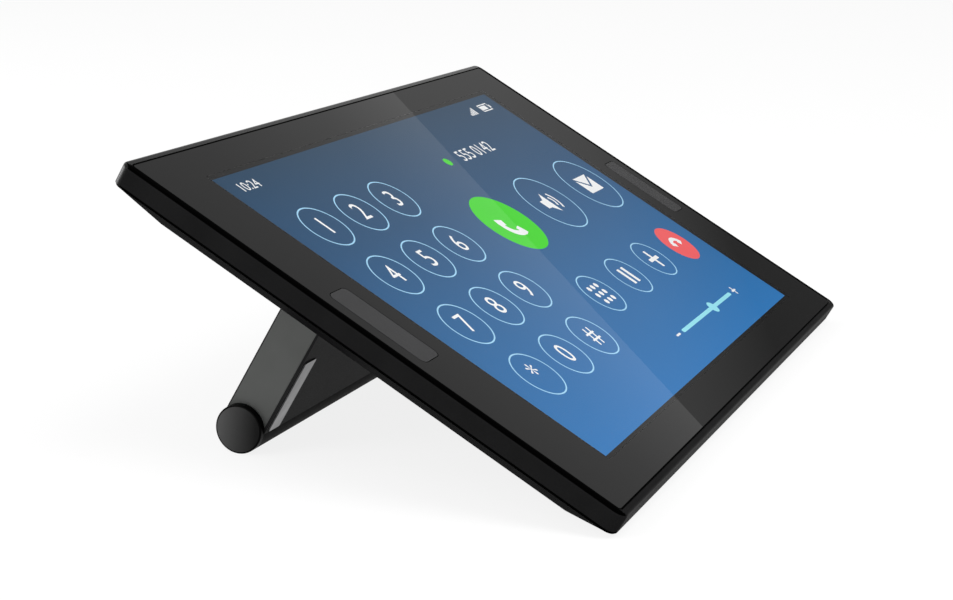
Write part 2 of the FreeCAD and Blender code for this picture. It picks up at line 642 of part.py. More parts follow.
def connectors():
    """Ribbon connectors on the side of the board that faces the mid plate."""
    found = [
        block(0, DISPLAY_CONNECTOR_Y, DISPLAY_FLEX_W, CONNECTOR_D, Z_BOARD_TOP, Z_CONNECTOR),
        block(TOUCH_FLEX_X, TOUCH_CONNECTOR_Y, TOUCH_FLEX_W, CONNECTOR_D, Z_BOARD_TOP, Z_CONNECTOR),
        block(PORT_FLEX_X, PORT_CONNECTOR_Y, PORT_FLEX_W, CONNECTOR_D, Z_BOARD_TOP, Z_CONNECTOR),
    ]
    for side in SIDES.values():
        x = side * SENSOR_CONNECTOR_X
        found.append(block(x, SENSOR_CABLE_Y, CONNECTOR_D, SENSOR_CABLE_W, Z_BOARD_TOP, Z_CONNECTOR))
    return found


def board_components():
    """Connectors in front, and chips, coils and capacitors on the back of the board."""
    chips = [(-46, 6, 14, 14), (-22, 6, 12, 9), (-22, -8, 12, 9)]
    chips += [(8, 4, 18, 12), (44, -6, 10, 10), (30, 14, 8, 6)]
    coils = [(-58 + 9 * step, -16, 6, 6) for step in range(4)]
    capacitors = [(2 + 6 * step, -16, 3, 4) for step in range(9)]
    parts = connectors()
    for group, h in ((chips, CHIP_H), (coils, COMPONENT_H), (capacitors, CAPACITOR_H)):
        parts += [block(x, BOARD_Y + y, w, d, Z_BOARD - h, Z_BOARD) for x, y, w, d in group]
    return Part.makeCompound(parts)


def soc_shield():
    return slab(SHIELD_W, SHIELD_D, SHIELD_CORNER_R, Z_BOARD_TOP, Z_MID - THERMAL_PAD_T, SHIELD_X, BOARD_Y)


def thermal_pad():
    w, d = SHIELD_W - 2 * THERMAL_PAD_INSET, SHIELD_D - 2 * THERMAL_PAD_INSET
    return block(SHIELD_X, BOARD_Y, w, d, Z_MID - THERMAL_PAD_T, Z_MID)


def board_screws():
    return screws(SMALL_SCREW, BOARD_POINTS, Z_BOARD, Z_MID_TOP)


# Sockets and key in the rear wall

def usb_c_socket():
    back = USB_MOUTH_Y - USB_D
    shell = usb_opening(0, back, USB_MOUTH_Y)
    shell = shell.cut(usb_opening(-USB_SHELL, back + USB_BACK, USB_MOUTH_Y))
    tongue_end = USB_MOUTH_Y - USB_TONGUE_INSET
    tongue = slab_y(USB_TONGUE_W, USB_TONGUE_T, USB_TONGUE_R, back, tongue_end, 0, Z_USB)
    return joined([shell, tongue])


def port_board():
    board = box(-PORT_BOARD_W / 2, PORT_BOARD_W / 2, PORT_FRONT_Y, PORT_REAR_Y, Z_PORT_BACK, Z_PORT)
    return board.cut(holes(SMALL_SCREW, PORT_POINTS, Z_PORT_BACK, Z_PORT))


def port_flex():
    """Flat ribbon from under the port board to the rear edge of the main board."""
    z = Z_PORT_BACK - FLEX_T / 2
    start = PORT_FRONT_Y + PORT_FLEX_LAP
    turn = BOARD_REAR_Y
    end = PORT_CONNECTOR_Y + CONNECTOR_D / 2 + FLEX_T / 2
    flex = ribbon([(start, z), (turn, z), (turn, Z_FLEX_LOW), (end, Z_FLEX_LOW)], PORT_FLEX_W, FLEX_T)
    return flex.translated(VEC(PORT_FLEX_X, 0, 0))


def port_screws():
    return screws(SMALL_SCREW, PORT_POINTS, Z_PORT_BACK, Z_LEDGE)


def power_key():
    flange_front = KEY_FLANGE_Y - KEY_FLANGE_T
    plunger = key_opening(0, flange_front, HEAD_H / 2 + KEY_PROUD)
    flange = slab_y(KEY_FLANGE_W, KEY_H, KEY_R, flange_front, KEY_FLANGE_Y, KEY_X, Z_KEY)
    nub = block(KEY_X, (KEY_NUB_Y + flange_front) / 2, KEY_NUB_W, KEY_NUB_L,
                Z_KEY - KEY_NUB_H / 2, Z_KEY + KEY_NUB_H / 2)
    return joined([plunger, flange, nub])


def power_switch():
    half = SWITCH_W / 2
    return box(KEY_X - half, KEY_X + half, SWITCH_FRONT_Y, SWITCH_REAR_Y, Z_LEDGE - SWITCH_H, Z_LEDGE)


# Rear cover

def cover_cavity():
    """Room inside the cover, a wall thickness from every outer face."""
    share = (Z_COVER - Z_BELLY_IN) / SLOPE_DROP
    floor_w = CAVITY_W - 2 * SLOPE_RUN_X * share
    floor_h = CAVITY_H - 2 * SLOPE_RUN_Y * share
    low = outline(floor_w, floor_h, INNER_CORNER_R, Z_BELLY_IN)
    return frustum(low, outline(CAVITY_W, CAVITY_H, INNER_CORNER_R, Z_COVER))


def screw_reliefs():
    """Shallow pockets in the rim of the cover for the screw heads that face it."""
    cuts = []
    for points, size, seat in ((CHASSIS_POINTS, MAIN_SCREW, Z_MID), (PORT_POINTS, SMALL_SCREW, Z_PORT_BACK)):
        low = seat - size[2] - RELIEF_GAP
        cuts += [disc(x, y, size[1] + RELIEF_GAP, low, Z_COVER) for x, y in points]
    return cuts


def cover_lip():
    """Ring that stands inside the frame wall, with notches for the socket and the key."""
    z0 = Z_COVER - LIP_LAP
    ring = slab(LIP_W, LIP_H, INNER_R - LIP_GAP, z0, Z_MID_TOP)
    ring = ring.cut(slab(LIP_W - 2 * LIP_T, LIP_H - 2 * LIP_T, LIP_CORNER_R, z0, Z_MID_TOP))
    usb_half = USB_W / 2 + USB_ROOM
    key_half = KEY_FLANGE_W / 2 + KEY_ROOM
    return ring.cut([
        box(-usb_half, usb_half, 0, BIG, Z_COVER, Z_MID_TOP),
        box(KEY_X - key_half, KEY_X + key_half, 0, BIG, Z_COVER, Z_MID_TOP),
    ])


def rear_cover():
    low = outline(BELLY_W, BELLY_H, BELLY_CORNER_R, Z_BELLY)
    outer = frustum(low, outline(COVER_W, COVER_H, HEAD_CORNER_R - COVER_STEP, Z_COVER))
    outer = outer.makeFillet(BELLY_ROUND, edges_at(outer, Z_BELLY))
    cover = joined([outer.cut(cover_cavity()), cover_lip()]).cut(screw_reliefs())
    sink = MAIN_HEAD_H + COUNTERBORE_SINK
    cuts = holes(MAIN_SCREW, COVER_POINTS, Z_BELLY, Z_BELLY_IN)
    cuts += [disc(x, y, MAIN_HEAD_R + COUNTERBORE_GAP, Z_BELLY, Z_BELLY + sink) for x, y in COVER_POINTS]
    for side in SIDES.values():
        w, d = LUG_W + 2 * LUG_GAP, 2 * (LUG_R + LUG_GAP)
        cuts.append(block(side * HINGE_X, HINGE_Y, w, d, Z_BELLY, Z_BELLY_IN))
    return cover.cut(cuts)


def cover_screws():
    return screws(MAIN_SCREW, COVER_POINTS, Z_BELLY + MAIN_HEAD_H + COUNTERBORE_SINK, Z_MID)


# Tilt of the head: the desk touches the middle of the front pads and the underside of the foot bar

SLOPE_FRONT = (-COVER_H / 2, Z_COVER)
SLOPE_REAR = (-BELLY_H / 2, Z_BELLY)
SLOPE = (SLOPE_REAR[1] - SLOPE_FRONT[1]) / (SLOPE_REAR[0] - SLOPE_FRONT[0])
PAD_Y = (SLOPE_FRONT[0] + SLOPE_REAR[0]) / 2
PAD_Z = (SLOPE_FRONT[1] + SLOPE_REAR[1]) / 2 - PAD_DROP
FOOT_DY = HINGE_Y - PAD_Y
FOOT_DZ = PAD_Z - (HINGE_Z - STAND_LENGTH)
TILT = math.atan2(FOOT_DZ, FOOT_DY) + math.asin(FOOT_R / math.hypot(FOOT_DY, FOOT_DZ))


def front_pad(side):
    """Wedge between the front slope of the cover and the desk."""
    def on_slope(y):
        return SLOPE_FRONT[1] + SLOPE * (y - SLOPE_FRONT[0])

    def on_desk(y):
        return PAD_Z - math.tan(TILT) * (y - PAD_Y)

    x = side * PAD_X - PAD_L / 2
    front, rear = PAD_Y - PAD_D / 2, PAD_Y + PAD_D / 2
    corners = [
        VEC(x, front, on_slope(front)),
        VEC(x, rear, on_slope(rear)),
        VEC(x, rear, on_desk(rear)),
        VEC(x, front, on_desk(front)),
    ]
    face = Part.Face(Part.makePolygon(corners + corners[:1]))
    return face.extrude(VEC(PAD_L, 0, 0))


# Hinge, fixed to the head

def hinge_bracket(side):
    x = side * HINGE_X
    flange = block(x, HINGE_Y, FLANGE_W, FLANGE_D, Z_MID - FLANGE_T, Z_MID)
    lug = block(x, HINGE_Y, LUG_W, 2 * LUG_R, HINGE_Z, Z_MID - FLANGE_T)
    eye = rod(x - LUG_W / 2, x + LUG_W / 2, HINGE_Y, HINGE_Z, LUG_R)
    bracket = joined([flange, lug, eye])
    cuts = holes(MAIN_SCREW, HINGE_POINTS, Z_MID - FLANGE_T, Z_MID)
    cuts.append(rod(x - LUG_W / 2, x + LUG_W / 2, HINGE_Y, HINGE_Z, PIN_R + PIN_RUN_GAP))
    return bracket.cut(cuts)


def hinge_screws():
    return screws(MAIN_SCREW, HINGE_POINTS, Z_MID - FLANGE_T, Z_MID_TOP)


# Stand, drawn hanging from the hinge axis at y and z of zero

def hinge_pin(side):
    x = side * HINGE_X
    return rod(x - PIN_HALF, x + PIN_HALF, 0, 0, PIN_R)


def friction_washers():
    """One washer at each side of each lug."""
    washers = []
    for side in SIDES.values():
        for face in (-1, 1):
            middle = side * HINGE_X + face * (LUG_W / 2 + WASHER_GAP + WASHER_T / 2)
            x0, x1 = middle - WASHER_T / 2, middle + WASHER_T / 2
            ring = rod(x0, x1, 0, 0, WASHER_R)
            washers.append(ring.cut(rod(x0, x1, 0, 0, PIN_R + PIN_RUN_GAP)))
    return Part.makeCompound(washers)


def lug_room(gap):
    """Space that the lugs need in the stand, from open to folded."""
    r = LUG_R + LUG_SWEEP_GAP
    half = LUG_W / 2 + gap
    rooms = []
    for side in SIDES.values():
        x0, x1 = side * HINGE_X - half, side * HINGE_X + half
        rooms.append(rod(x0, x1, 0, 0, r))
        rooms.append(box(x0, x1, -BIG, r, 0, BIG))
        rooms.append(box(x0, x1, -BIG, 0, -r, BIG))
    return rooms


def foot_cradle():
    return rod(-BIG, BIG, 0, -STAND_LENGTH, CRADLE_R)


def stand_core():
    """Extrusion with a hinge barrel, a web and a round bead for the foot."""
    web = box(-CORE_HALF, CORE_HALF, -CORE_WEB_T / 2, CORE_WEB_T / 2, -STAND_LENGTH, 0)
    barrel = rod(-CORE_HALF, CORE_HALF, 0, 0, CORE_BARREL_R)
    bead = rod(-SLEEVE_HALF, SLEEVE_HALF, 0, -STAND_LENGTH, BEAD_R)
    core = joined([web, barrel, bead])
    cap_bore = CAP_SPIGOT_R + SPIGOT_GAP
    bore_end = SLEEVE_HALF - CAP_SPIGOT_L - BLIND_GAP
    cuts = lug_room(CORE_LUG_GAP)
    cuts.append(rod(-CORE_HALF, CORE_HALF, 0, 0, PIN_R + PIN_SEAT_GAP))
    cuts.append(rod(-SLEEVE_HALF, -bore_end, 0, -STAND_LENGTH, cap_bore))
    cuts.append(rod(bore_end, SLEEVE_HALF, 0, -STAND_LENGTH, cap_bore))
    cuts += [post_y(x, LEG_SCREW_Z, MAIN_SHANK_R + HOLE_GAP, -CORE_WEB_T, CORE_WEB_T) for x in LEG_SCREW_XS]
    return core.cut(cuts)


def leg_section(inset, x):
    """End outline of the leg at x, drawn inset from its outer skin."""
    half = LEG_T / 2 - inset
    top = HEEL_Z - inset
    step = HEEL_Y + inset
    low = -STAND_LENGTH
    shoulder = half * math.sqrt(0.5)
    crown = Part.Arc(VEC(x, -half, 0), VEC(x, -shoulder, shoulder), VEC(x, 0, half)).toShape()
    path = [(0, half), (step, half), (step, top), (half, top), (half, low), (-half, low), (-half, 0)]
    points = [VEC(x, y, z) for y, z in path]
    lines = [Part.LineSegment(a, b).toShape() for a, b in zip(points, points[1:])]
    return Part.Face(Part.Wire([crown] + lines))


def leg_solid(inset, x0, x1):
    return leg_section(inset, x0).extrude(VEC(x1 - x0, 0, 0))


def leg_shell():
    outer = leg_solid(0, -LEG_W / 2, LEG_W / 2)
    return outer.cut(leg_solid(LEG_WALL, -LEG_W / 2, LEG_W / 2))


def leg_front_cover():
    front = leg_shell().cut(box(-BIG, BIG, 0, BIG, -BIG, BIG))
    inner = LEG_T / 2 - LEG_WALL
    bosses = [post_y(x, LEG_SCREW_Z, LEG_BOSS_R, -inner, -CORE_WEB_T / 2) for x in LEG_SCREW_XS]
    front = joined([front] + bosses)
    tip = -LEG_T / 2 + LEG_WALL
    bores = [post_y(x, LEG_SCREW_Z, MAIN_SHANK_R + HOLE_GAP, tip, 0) for x in LEG_SCREW_XS]
    seats = [leg_solid(END_LIP, -LEG_W / 2, -BACK_HALF), leg_solid(END_LIP, BACK_HALF, LEG_W / 2)]
    return front.cut(bores + seats + [foot_cradle()] + lug_room(COVER_LUG_GAP))


def leg_back_cover():
    back = leg_shell().cut(box(-BIG, BIG, -BIG, 0, -BIG, BIG))
    back = back.common(box(-BACK_HALF, BACK_HALF, -BIG, BIG, -BIG, BIG))
    inner = LEG_T / 2 - LEG_WALL
    bosses = [post_y(x, LEG_SCREW_Z, LEG_BOSS_R, CORE_WEB_T / 2, inner) for x in LEG_SCREW_XS]
    back = joined([back] + bosses)
    seat = LEG_T / 2 - LEG_SCREW_SINK
    cuts = [foot_cradle()] + lug_room(COVER_LUG_GAP)
    for x in LEG_SCREW_XS:
        cuts.append(post_y(x, LEG_SCREW_Z, MAIN_SHANK_R + HOLE_GAP, 0, LEG_T / 2))
        cuts.append(post_y(x, LEG_SCREW_Z, MAIN_HEAD_R + COUNTERBORE_GAP, seat, LEG_T / 2))
    return back.cut(cuts)


def leg_screws():
    """Screws driven from behind through the core into the front cover."""
    seat = LEG_T / 2 - LEG_SCREW_SINK
    tip = LEG_SCREW_TIP + LEG_WALL - LEG_T / 2
    group = []
    for x in LEG_SCREW_XS:
        one = screw(MAIN_SCREW, seat - tip, 0, 0, 0)
        one.rotate(VEC(0, 0, 0), VEC(1, 0, 0), 90)
        group.append(one.translated(VEC(x, seat, LEG_SCREW_Z)))
    return Part.makeCompound(group)


def leg_end_plate(side):
    """Plate that closes one end of the leg, inside the front cover and over the end of the back cover."""
    x0, x1 = sorted((side * END_PLATE_X, side * CORE_HALF))
    inner = leg_solid(END_LIP + END_PLATE_GAP, x0, x1)
    lap = leg_solid(0, x0, x1).cut(box(-BIG, BIG, -BIG, END_PLATE_GAP, -BIG, BIG))
    s0, s1 = sorted((side * (END_PLATE_X - END_PLATE_T / 2), side * (CORE_HALF - SPIGOT_L)))
    return joined([inner, lap, rod(s0, s1, 0, 0, PIN_R - SPIGOT_GAP)]).cut(foot_cradle())


def badge_plate():
    """Bare plate on the front of the leg, at its left end."""
    x = -LEG_W / 2 + BADGE_INSET + BADGE_W / 2
    z = -STAND_LENGTH + CRADLE_RISE + BADGE_RISE + BADGE_H / 2
    return slab_y(BADGE_W, BADGE_H, BADGE_R, -LEG_T / 2 - BADGE_T, -LEG_T / 2, x, z)


def foot_sleeve():
    sleeve = rod(-SLEEVE_HALF, SLEEVE_HALF, 0, -STAND_LENGTH, FOOT_R)
    half = CORE_WEB_T / 2 + SLEEVE_SLOT_GAP
    return sleeve.cut([
        rod(-SLEEVE_HALF, SLEEVE_HALF, 0, -STAND_LENGTH, BEAD_R + SLEEVE_GAP),
        box(-SLEEVE_HALF, SLEEVE_HALF, -half, half, -STAND_LENGTH, 0),
    ])


def foot_cap(side):
    """Turned cap with a rounded rim, a crowned face and a spigot in the end of the core."""
    end = SLEEVE_HALF + FOOT_CAP_T
    rim = FOOT_R - FOOT_CAP_ROUND
    bend = FOOT_CAP_ROUND * math.sqrt(0.5)
    crown_r = (rim ** 2 + FOOT_DOME ** 2) / (2 * FOOT_DOME)
    crown_x = end + FOOT_DOME - crown_r
    half_turn = math.asin(rim / crown_r) / 2
    tail = SLEEVE_HALF - CAP_SPIGOT_L
    path = [(end + FOOT_DOME, 0), (tail, 0), (tail, CAP_SPIGOT_R), (SLEEVE_HALF, CAP_SPIGOT_R)]
    path += [(SLEEVE_HALF, FOOT_R), (end - FOOT_CAP_ROUND, FOOT_R)]
    points = [VEC(x, y, 0) for x, y in path]
    edges = [Part.LineSegment(a, b).toShape() for a, b in zip(points, points[1:])]
    shoulder = VEC(end - FOOT_CAP_ROUND + bend, rim + bend, 0)
    crown = VEC(crown_x + crown_r * math.cos(half_turn), crown_r * math.sin(half_turn), 0)
    edges.append(Part.Arc(points[-1], shoulder, VEC(end, rim, 0)).toShape())
    edges.append(Part.Arc(VEC(end, rim, 0), crown, points[0]).toShape())
    cap = Part.Face(Part.Wire(edges)).revolve(VEC(0, 0, 0), VEC(1, 0, 0), 360)
    if side < 0:
        cap.rotate(VEC(0, 0, 0), VEC(0, 0, 1), 180)
    return cap.translated(VEC(0, 0, -STAND_LENGTH))


# Assembly

def head_nodes():
    nodes = {
        "cover_glass": cover_glass(),
        "border_film": border_film(),
        "lcd_cell": lcd_cell(),
        "light_guide": light_guide(),
        "backlight_tray": backlight_tray(),
        "display_flex": display_flex(),
        "touch_flex": touch_flex(),
        "sensor_screws": sensor_screws(),
        "front_frame": front_frame(),
        "mid_plate": mid_plate(),
        "chassis_screws": chassis_screws(),
        "main_board": main_board(),
        "board_components": board_components(),
        "soc_shield": soc_shield(),
        "thermal_pad": thermal_pad(),
        "board_screws": board_screws(),
        "usb_c_socket": usb_c_socket(),
        "port_board": port_board(),
        "port_flex": port_flex(),
        "port_screws": port_screws(),
        "power_key": power_key(),
        "power_switch": power_switch(),
        "rear_cover": rear_cover(),
        "cover_screws": cover_screws(),
        "hinge_screws": hinge_screws(),
    }
    for name, side in SIDES.items():
        nodes["sensor_window_" + name] = sensor_window(side)
        nodes["sensor_board_" + name] = sensor_board(side)
        nodes["sensor_cable_" + name] = sensor_cable(side)
        nodes["front_pad_" + name] = front_pad(side)
        nodes["hinge_bracket_" + name] = hinge_bracket(side)
    return nodes


def stand_nodes():
    nodes = {
        "friction_washers": friction_washers(),
        "stand_core": stand_core(),
        "leg_front_cover": leg_front_cover(),
        "leg_back_cover": leg_back_cover(),
        "leg_screws": leg_screws(),
        "badge_plate": badge_plate(),
        "foot_sleeve": foot_sleeve(),
    }
    for name, side in SIDES.items():
        nodes["hinge_pin_" + name] = hinge_pin(side)
        nodes["leg_end_plate_" + name] = leg_end_plate(side)
        nodes["foot_cap_" + name] = foot_cap(side)
    return {name: shape.translated(VEC(0, HINGE_Y, HINGE_Z)) for name, shape in nodes.items()}


def tilted(shape):
    turned = shape.copy()
    turned.rotate(VEC(0, 0, 0), VEC(1, 0, 0), math.degrees(TILT))
    return turned


def desk_shift(shapes):
    """Move that stands the tilted part on the desk, centred over the origin."""
    bounds = Part.makeCompound(shapes).optimalBoundingBox(False)
    return VEC(-bounds.Center.x, -bounds.Center.y, -bounds.ZMin)


def assembly():
    """Every node on the desk, and the move that put it there."""
    nodes = {name: tilted(shape) for name, shape in {**head_nodes(), **stand_nodes()}.items()}
    shift = desk_shift(list(nodes.values()))
    return {name: shape.translated(shift) for name, shape in nodes.items()}, shift


def main():
    os.makedirs("parts", exist_ok=True)
    nodes, shift = assembly()
    for name, shape in nodes.items():
        shape.exportStep("parts/" + name + ".step")
    print("tilt", round(math.degrees(TILT), 3), "shift", shift, "nodes", len(nodes))
    return nodes, shift


main()
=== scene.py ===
import json
import math

import bmesh
import bpy
from mathutils import Matrix, Vector


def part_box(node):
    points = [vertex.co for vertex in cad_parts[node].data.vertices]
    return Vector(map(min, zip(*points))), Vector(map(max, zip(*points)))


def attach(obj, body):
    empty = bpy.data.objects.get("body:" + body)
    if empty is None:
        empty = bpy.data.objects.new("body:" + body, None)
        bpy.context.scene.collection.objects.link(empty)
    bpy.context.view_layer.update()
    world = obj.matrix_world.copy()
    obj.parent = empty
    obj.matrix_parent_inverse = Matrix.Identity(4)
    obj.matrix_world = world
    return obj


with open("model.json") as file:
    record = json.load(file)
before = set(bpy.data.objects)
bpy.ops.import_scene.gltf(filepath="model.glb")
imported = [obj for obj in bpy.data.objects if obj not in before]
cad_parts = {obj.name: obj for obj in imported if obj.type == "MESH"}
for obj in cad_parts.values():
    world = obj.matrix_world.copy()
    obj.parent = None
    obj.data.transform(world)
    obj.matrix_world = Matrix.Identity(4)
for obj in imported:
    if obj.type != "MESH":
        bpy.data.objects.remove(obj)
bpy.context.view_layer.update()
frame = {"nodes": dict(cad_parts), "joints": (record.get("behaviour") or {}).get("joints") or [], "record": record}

# The head's own axes, read from the frame: across the glass, up the glass and out of it
MM = 0.001
POWER_PRESS = next(joint for joint in frame["joints"] if joint["name"] == "power_press")
ACROSS = Vector((1, 0, 0))
UP_GLASS = -Vector(POWER_PRESS["axis"]).normalized()
OUT = ACROSS.cross(UP_GLASS)
BACKWARD = Vector((0, 1, 0))
UPRIGHT = Vector((0, 0, 1))


def glass_centre():
    """The middle of the front of the cover glass."""
    points = [vertex.co for vertex in frame["nodes"]["cover_glass"].data.vertices]
    rises = [point.dot(UP_GLASS) for point in points]
    front = max(point.dot(OUT) for point in points)
    return UP_GLASS * (min(rises) + max(rises)) / 2 + OUT * front


GLASS_CENTRE = glass_centre()


def at(u, v, n):
    """The point u across, v up and n out of the glass, in millimetres from the middle of its front."""
    return GLASS_CENTRE + (ACROSS * u + UP_GLASS * v + OUT * n) * MM


def reach(node, axis):
    """How far a node reaches along an axis from the middle of the glass, in millimetres."""
    vertices = frame["nodes"][node].data.vertices
    return max((vertex.co - GLASS_CENTRE).dot(axis) for vertex in vertices) / MM


# Camera, in millimetres from the middle of the glass and in degrees
CAMERA_PLACE = (-625.55, -217.74, 127.96)
CAMERA_AZIMUTH = -69.17
CAMERA_ELEVATION = 12.478
CAMERA_ROLL = 0.186
CAMERA_LENS = 78.96
CAMERA_SENSOR = 36.0
CAMERA_CLIP = (0.01, 100.0)         # metres

# Sky and floor
SKY_LEVEL = 0.62
FLOOR_LEVEL = 0.9
FLOOR_PATCHES = 0.02                # how much lighter the floor's pale patches are
FLOOR_PATCH_SIZE = 400.0            # millimetres
FLOOR_WHITE = 0.85                  # share of plain white in the floor that is seen
FLOOR_SIZE = 12.0                   # metres

# Lamps: place and size in metres, power in watts, and whether they are seen in gloss
LAMPS = {
    "key_light": ((-0.5, -0.9, 1.5), 1.0, 22.0, False),
    "fill_light": ((-1.2, 0.9, 1.2), 1.0, 10.0, True),
    "back_light": ((0.05, 1.6, 0.35), 0.8, 12.0, True),
}

# Two studio cards at the right that the glass mirrors, and the line where they meet, in millimetres
CARD_MIDDLE = Vector((1382, -18, 556))
CARD_ALONG = Vector((0.1429, 0.9317, 0.3333))
CARD_UP = Vector((-0.3606, -0.2642, 0.8944))
CARD_FRONT = 700.0
CARD_REAR = 400.0
CARD_RISE = 450.0
CARD_DROP = 350.0

# Levels of the cards as (position, level), from the line up and, on the lower one, between two heights
UPPER_LEVELS = ((0.0, 0.64), (0.16, 0.475), (0.4, 0.385), (1.0, 0.31))
LOWER_LEVELS = ((0.0, 0.115), (0.4, 0.335), (0.65, 0.4), (1.0, 0.43))
LOWER_HEIGHTS = (380.0, 620.0)

# Glass: refraction of it and of its bonded back, clear margin round the lit area and wiping in millimetres
GLASS_IOR = 1.3
BOND_IOR = 1.0
CLEAR_MARGIN = 1.5
SHARP_EDGE = 0.002
WIPE_SIZE = 30.0

# Noise: the part of its range that is used, and its detail
NOISE_LOW = 0.3
NOISE_HIGH = 0.7
GRAIN_DETAIL = 4.0
PATCH_DETAIL = 3.0
PLAIN_DETAIL = 2.0

# Plastic and print: patches and grain in millimetres, and roughness either way
PATCH_SIZE = 14.0
PRINT_PATCH_SIZE = 20.0
SATIN_GRAIN = 0.5
GLOSS_SPREAD = 0.05

# Circuit boards and backlight: clouds in millimetres
MASK_CLOUD_SIZE = 6.0
BACKLIGHT_CLOUD_SIZE = 20.0

# Metal: streaks and clouds in millimetres, and roughness either way
STREAK_SIZE = 0.35
STREAK_STRETCH = 40.0
STREAK_SHARE = 0.15
STREAK_DEPTH = 0.002
CLOUD_SIZE = 9.0
METAL_SPREAD = 0.06

FRAME_BLACK = (0.0095, 0.0095, 0.0097)
# Painted highlight of the rear rim: its grey rises from the left end to the right
RIM_HIGHLIGHT = (0.001, 0.045, 0.09)     # levels of the rear rim at its left end, its middle and its right end

# Black bands: beside the glass from the middle and down to a level, and on the edges of parts, in millimetres
# BAND_EDGE and BAND_FOOT bound the painted shade beside the glass, where the groove there falls dark
BAND_EDGE = (133.0, 133.3)
BAND_FOOT = (-0.55, -0.4)
# Painted shadow of the parting gap along the frame's lower edge
GAP_SHADE_WIDTH = 0.45
PLATE_BAND = 0.35
CAP_BAND = 0.5
BAND_BLUR = 0.1

# How far a face's normal goes along an axis that it leans to, faces, or is square to
LEANING = 0.2
FACING = 0.9
SQUARE = 0.99

# The lit area and the levels of its thin layers below the glass, in millimetres
SCREEN_W = 216.9
SCREEN_H = 135.5
SCREEN_ROUND = 0.2
LAYER = 0.03
IMAGE_LEVEL = -1.385
FACE_LEVEL = -1.335
MARK_LEVEL = -1.285


# Node helpers

def shader(name):
    """A new material, its tree, its surface shader and its object coordinates."""
    look = bpy.data.materials.new(name)
    look.use_nodes = True
    tree = look.node_tree
    place = tree.nodes.new("ShaderNodeTexCoord").outputs["Object"]
    return look, tree, tree.nodes["Principled BSDF"], place


def noise(tree, place, size, detail=PLAIN_DETAIL, stretch=(1.0, 1.0, 1.0)):
    """Noise with features of about a size in millimetres, drawn out by the stretch along each axis."""
    mapping = tree.nodes.new("ShaderNodeMapping")
    mapping.inputs["Scale"].default_value = [1.0 / (size * MM * s) for s in stretch]
    texture = tree.nodes.new("ShaderNodeTexNoise")
    texture.inputs["Scale"].default_value = 1.0
    texture.inputs["Detail"].default_value = detail
    tree.links.new(place, mapping.inputs["Vector"])
    tree.links.new(mapping.outputs["Vector"], texture.inputs["Vector"])
    return texture.outputs["Fac"]


def spread(tree, factor, low, high, start=NOISE_LOW, stop=NOISE_HIGH):
    """A number that runs from low to high as the factor runs from start to stop."""
    span = tree.nodes.new("ShaderNodeMapRange")
    span.inputs["From Min"].default_value = start
    span.inputs["From Max"].default_value = stop
    span.inputs["To Min"].default_value = low
    span.inputs["To Max"].default_value = high
    tree.links.new(factor, span.inputs["Value"])
    return span.outputs["Result"]


def tint(tree, factor, *stops):
    """A colour ramp through (position, colour) stops."""
    ramp = tree.nodes.new("ShaderNodeValToRGB")
    elements = ramp.color_ramp.elements
    while len(elements) < len(stops):
        elements.new(0.5)
    for element, (position, colour) in zip(elements, stops):
        element.position = position
        element.color = (*colour, 1.0)
    tree.links.new(factor, ramp.inputs["Fac"])
    return ramp.outputs["Color"]


def shades(tree, factor, dark, light):
    """A colour that runs from a dark one to a light one over a noise."""
    return tint(tree, factor, (NOISE_LOW, dark), (NOISE_HIGH, light))


def along(tree, place, axis, low, high):
    """0 to 1 from low to high along an axis, in millimetres from the middle of the glass."""
    travel = tree.nodes.new("ShaderNodeVectorMath")
    travel.operation = "DOT_PRODUCT"
    travel.inputs[1].default_value = axis
    tree.links.new(place, travel.inputs[0])
    zero = GLASS_CENTRE.dot(axis)
    return spread(tree, travel.outputs["Value"], 0.0, 1.0, zero + low * MM, zero + high * MM)


def inside(tree, place, axis, half):
    """1 up to half a width along an axis and 0 beyond it, with a sharp edge."""
    return along(tree, place, axis, half + SHARP_EDGE, half)


def edge_band(tree, place, node, axis, width):
    """1 in a band of the given width in millimetres at a node's far end along an axis, and 0 before it."""
    start = reach(node, axis) - width
    return along(tree, place, axis, start - BAND_BLUR, start)


def distance(tree, place, middle):
    """Distance in metres from the line across through a middle."""
    offset = tree.nodes.new("ShaderNodeVectorMath")
    offset.operation = "SUBTRACT"
    offset.inputs[1].default_value = middle
    flat = tree.nodes.new("ShaderNodeVectorMath")
    flat.operation = "MULTIPLY"
    flat.inputs[1].default_value = (0.0, 1.0, 1.0)
    length = tree.nodes.new("ShaderNodeVectorMath")
    length.operation = "LENGTH"
    tree.links.new(place, offset.inputs[0])
    tree.links.new(offset.outputs["Vector"], flat.inputs[0])
    tree.links.new(flat.outputs["Vector"], length.inputs[0])
    return length.outputs["Value"]


def combine(tree, operation, first, second):
    """Two numbers joined by a math operation."""
    join = tree.nodes.new("ShaderNodeMath")
    join.operation = operation
    tree.links.new(first, join.inputs[0])
    tree.links.new(second, join.inputs[1])
    return join.outputs["Value"]


def mixed(tree, factor, colour, other):
    """A colour that turns into a plain one as the factor runs from 0 to 1."""
    blend = tree.nodes.new("ShaderNodeMix")
    blend.data_type = "RGBA"
    blend.inputs["B"].default_value = (*other, 1.0)
    tree.links.new(factor, blend.inputs["Factor"])
    tree.links.new(colour, blend.inputs["A"])
    return blend.outputs["Result"]


def relief(tree, bsdf, height, depth):
    """Bump of the given depth in millimetres."""
    bump = tree.nodes.new("ShaderNodeBump")
    bump.inputs["Distance"].default_value = depth * MM
    tree.links.new(height, bump.inputs["Height"])
    tree.links.new(bump.outputs["Normal"], bsdf.inputs["Normal"])


def grey(level):
    return (level, level, level)


def scaled(colour, factor):
    return tuple(c * factor for c in colour)


# Materials

def mottled(tree, place, colour, share):
    """A colour that is darker and lighter by a share in broad patches."""
    broad = noise(tree, place, PATCH_SIZE, detail=PATCH_DETAIL)
    return shades(tree, broad, scaled(colour, 1.0 - share), scaled(colour, 1.0 + share))


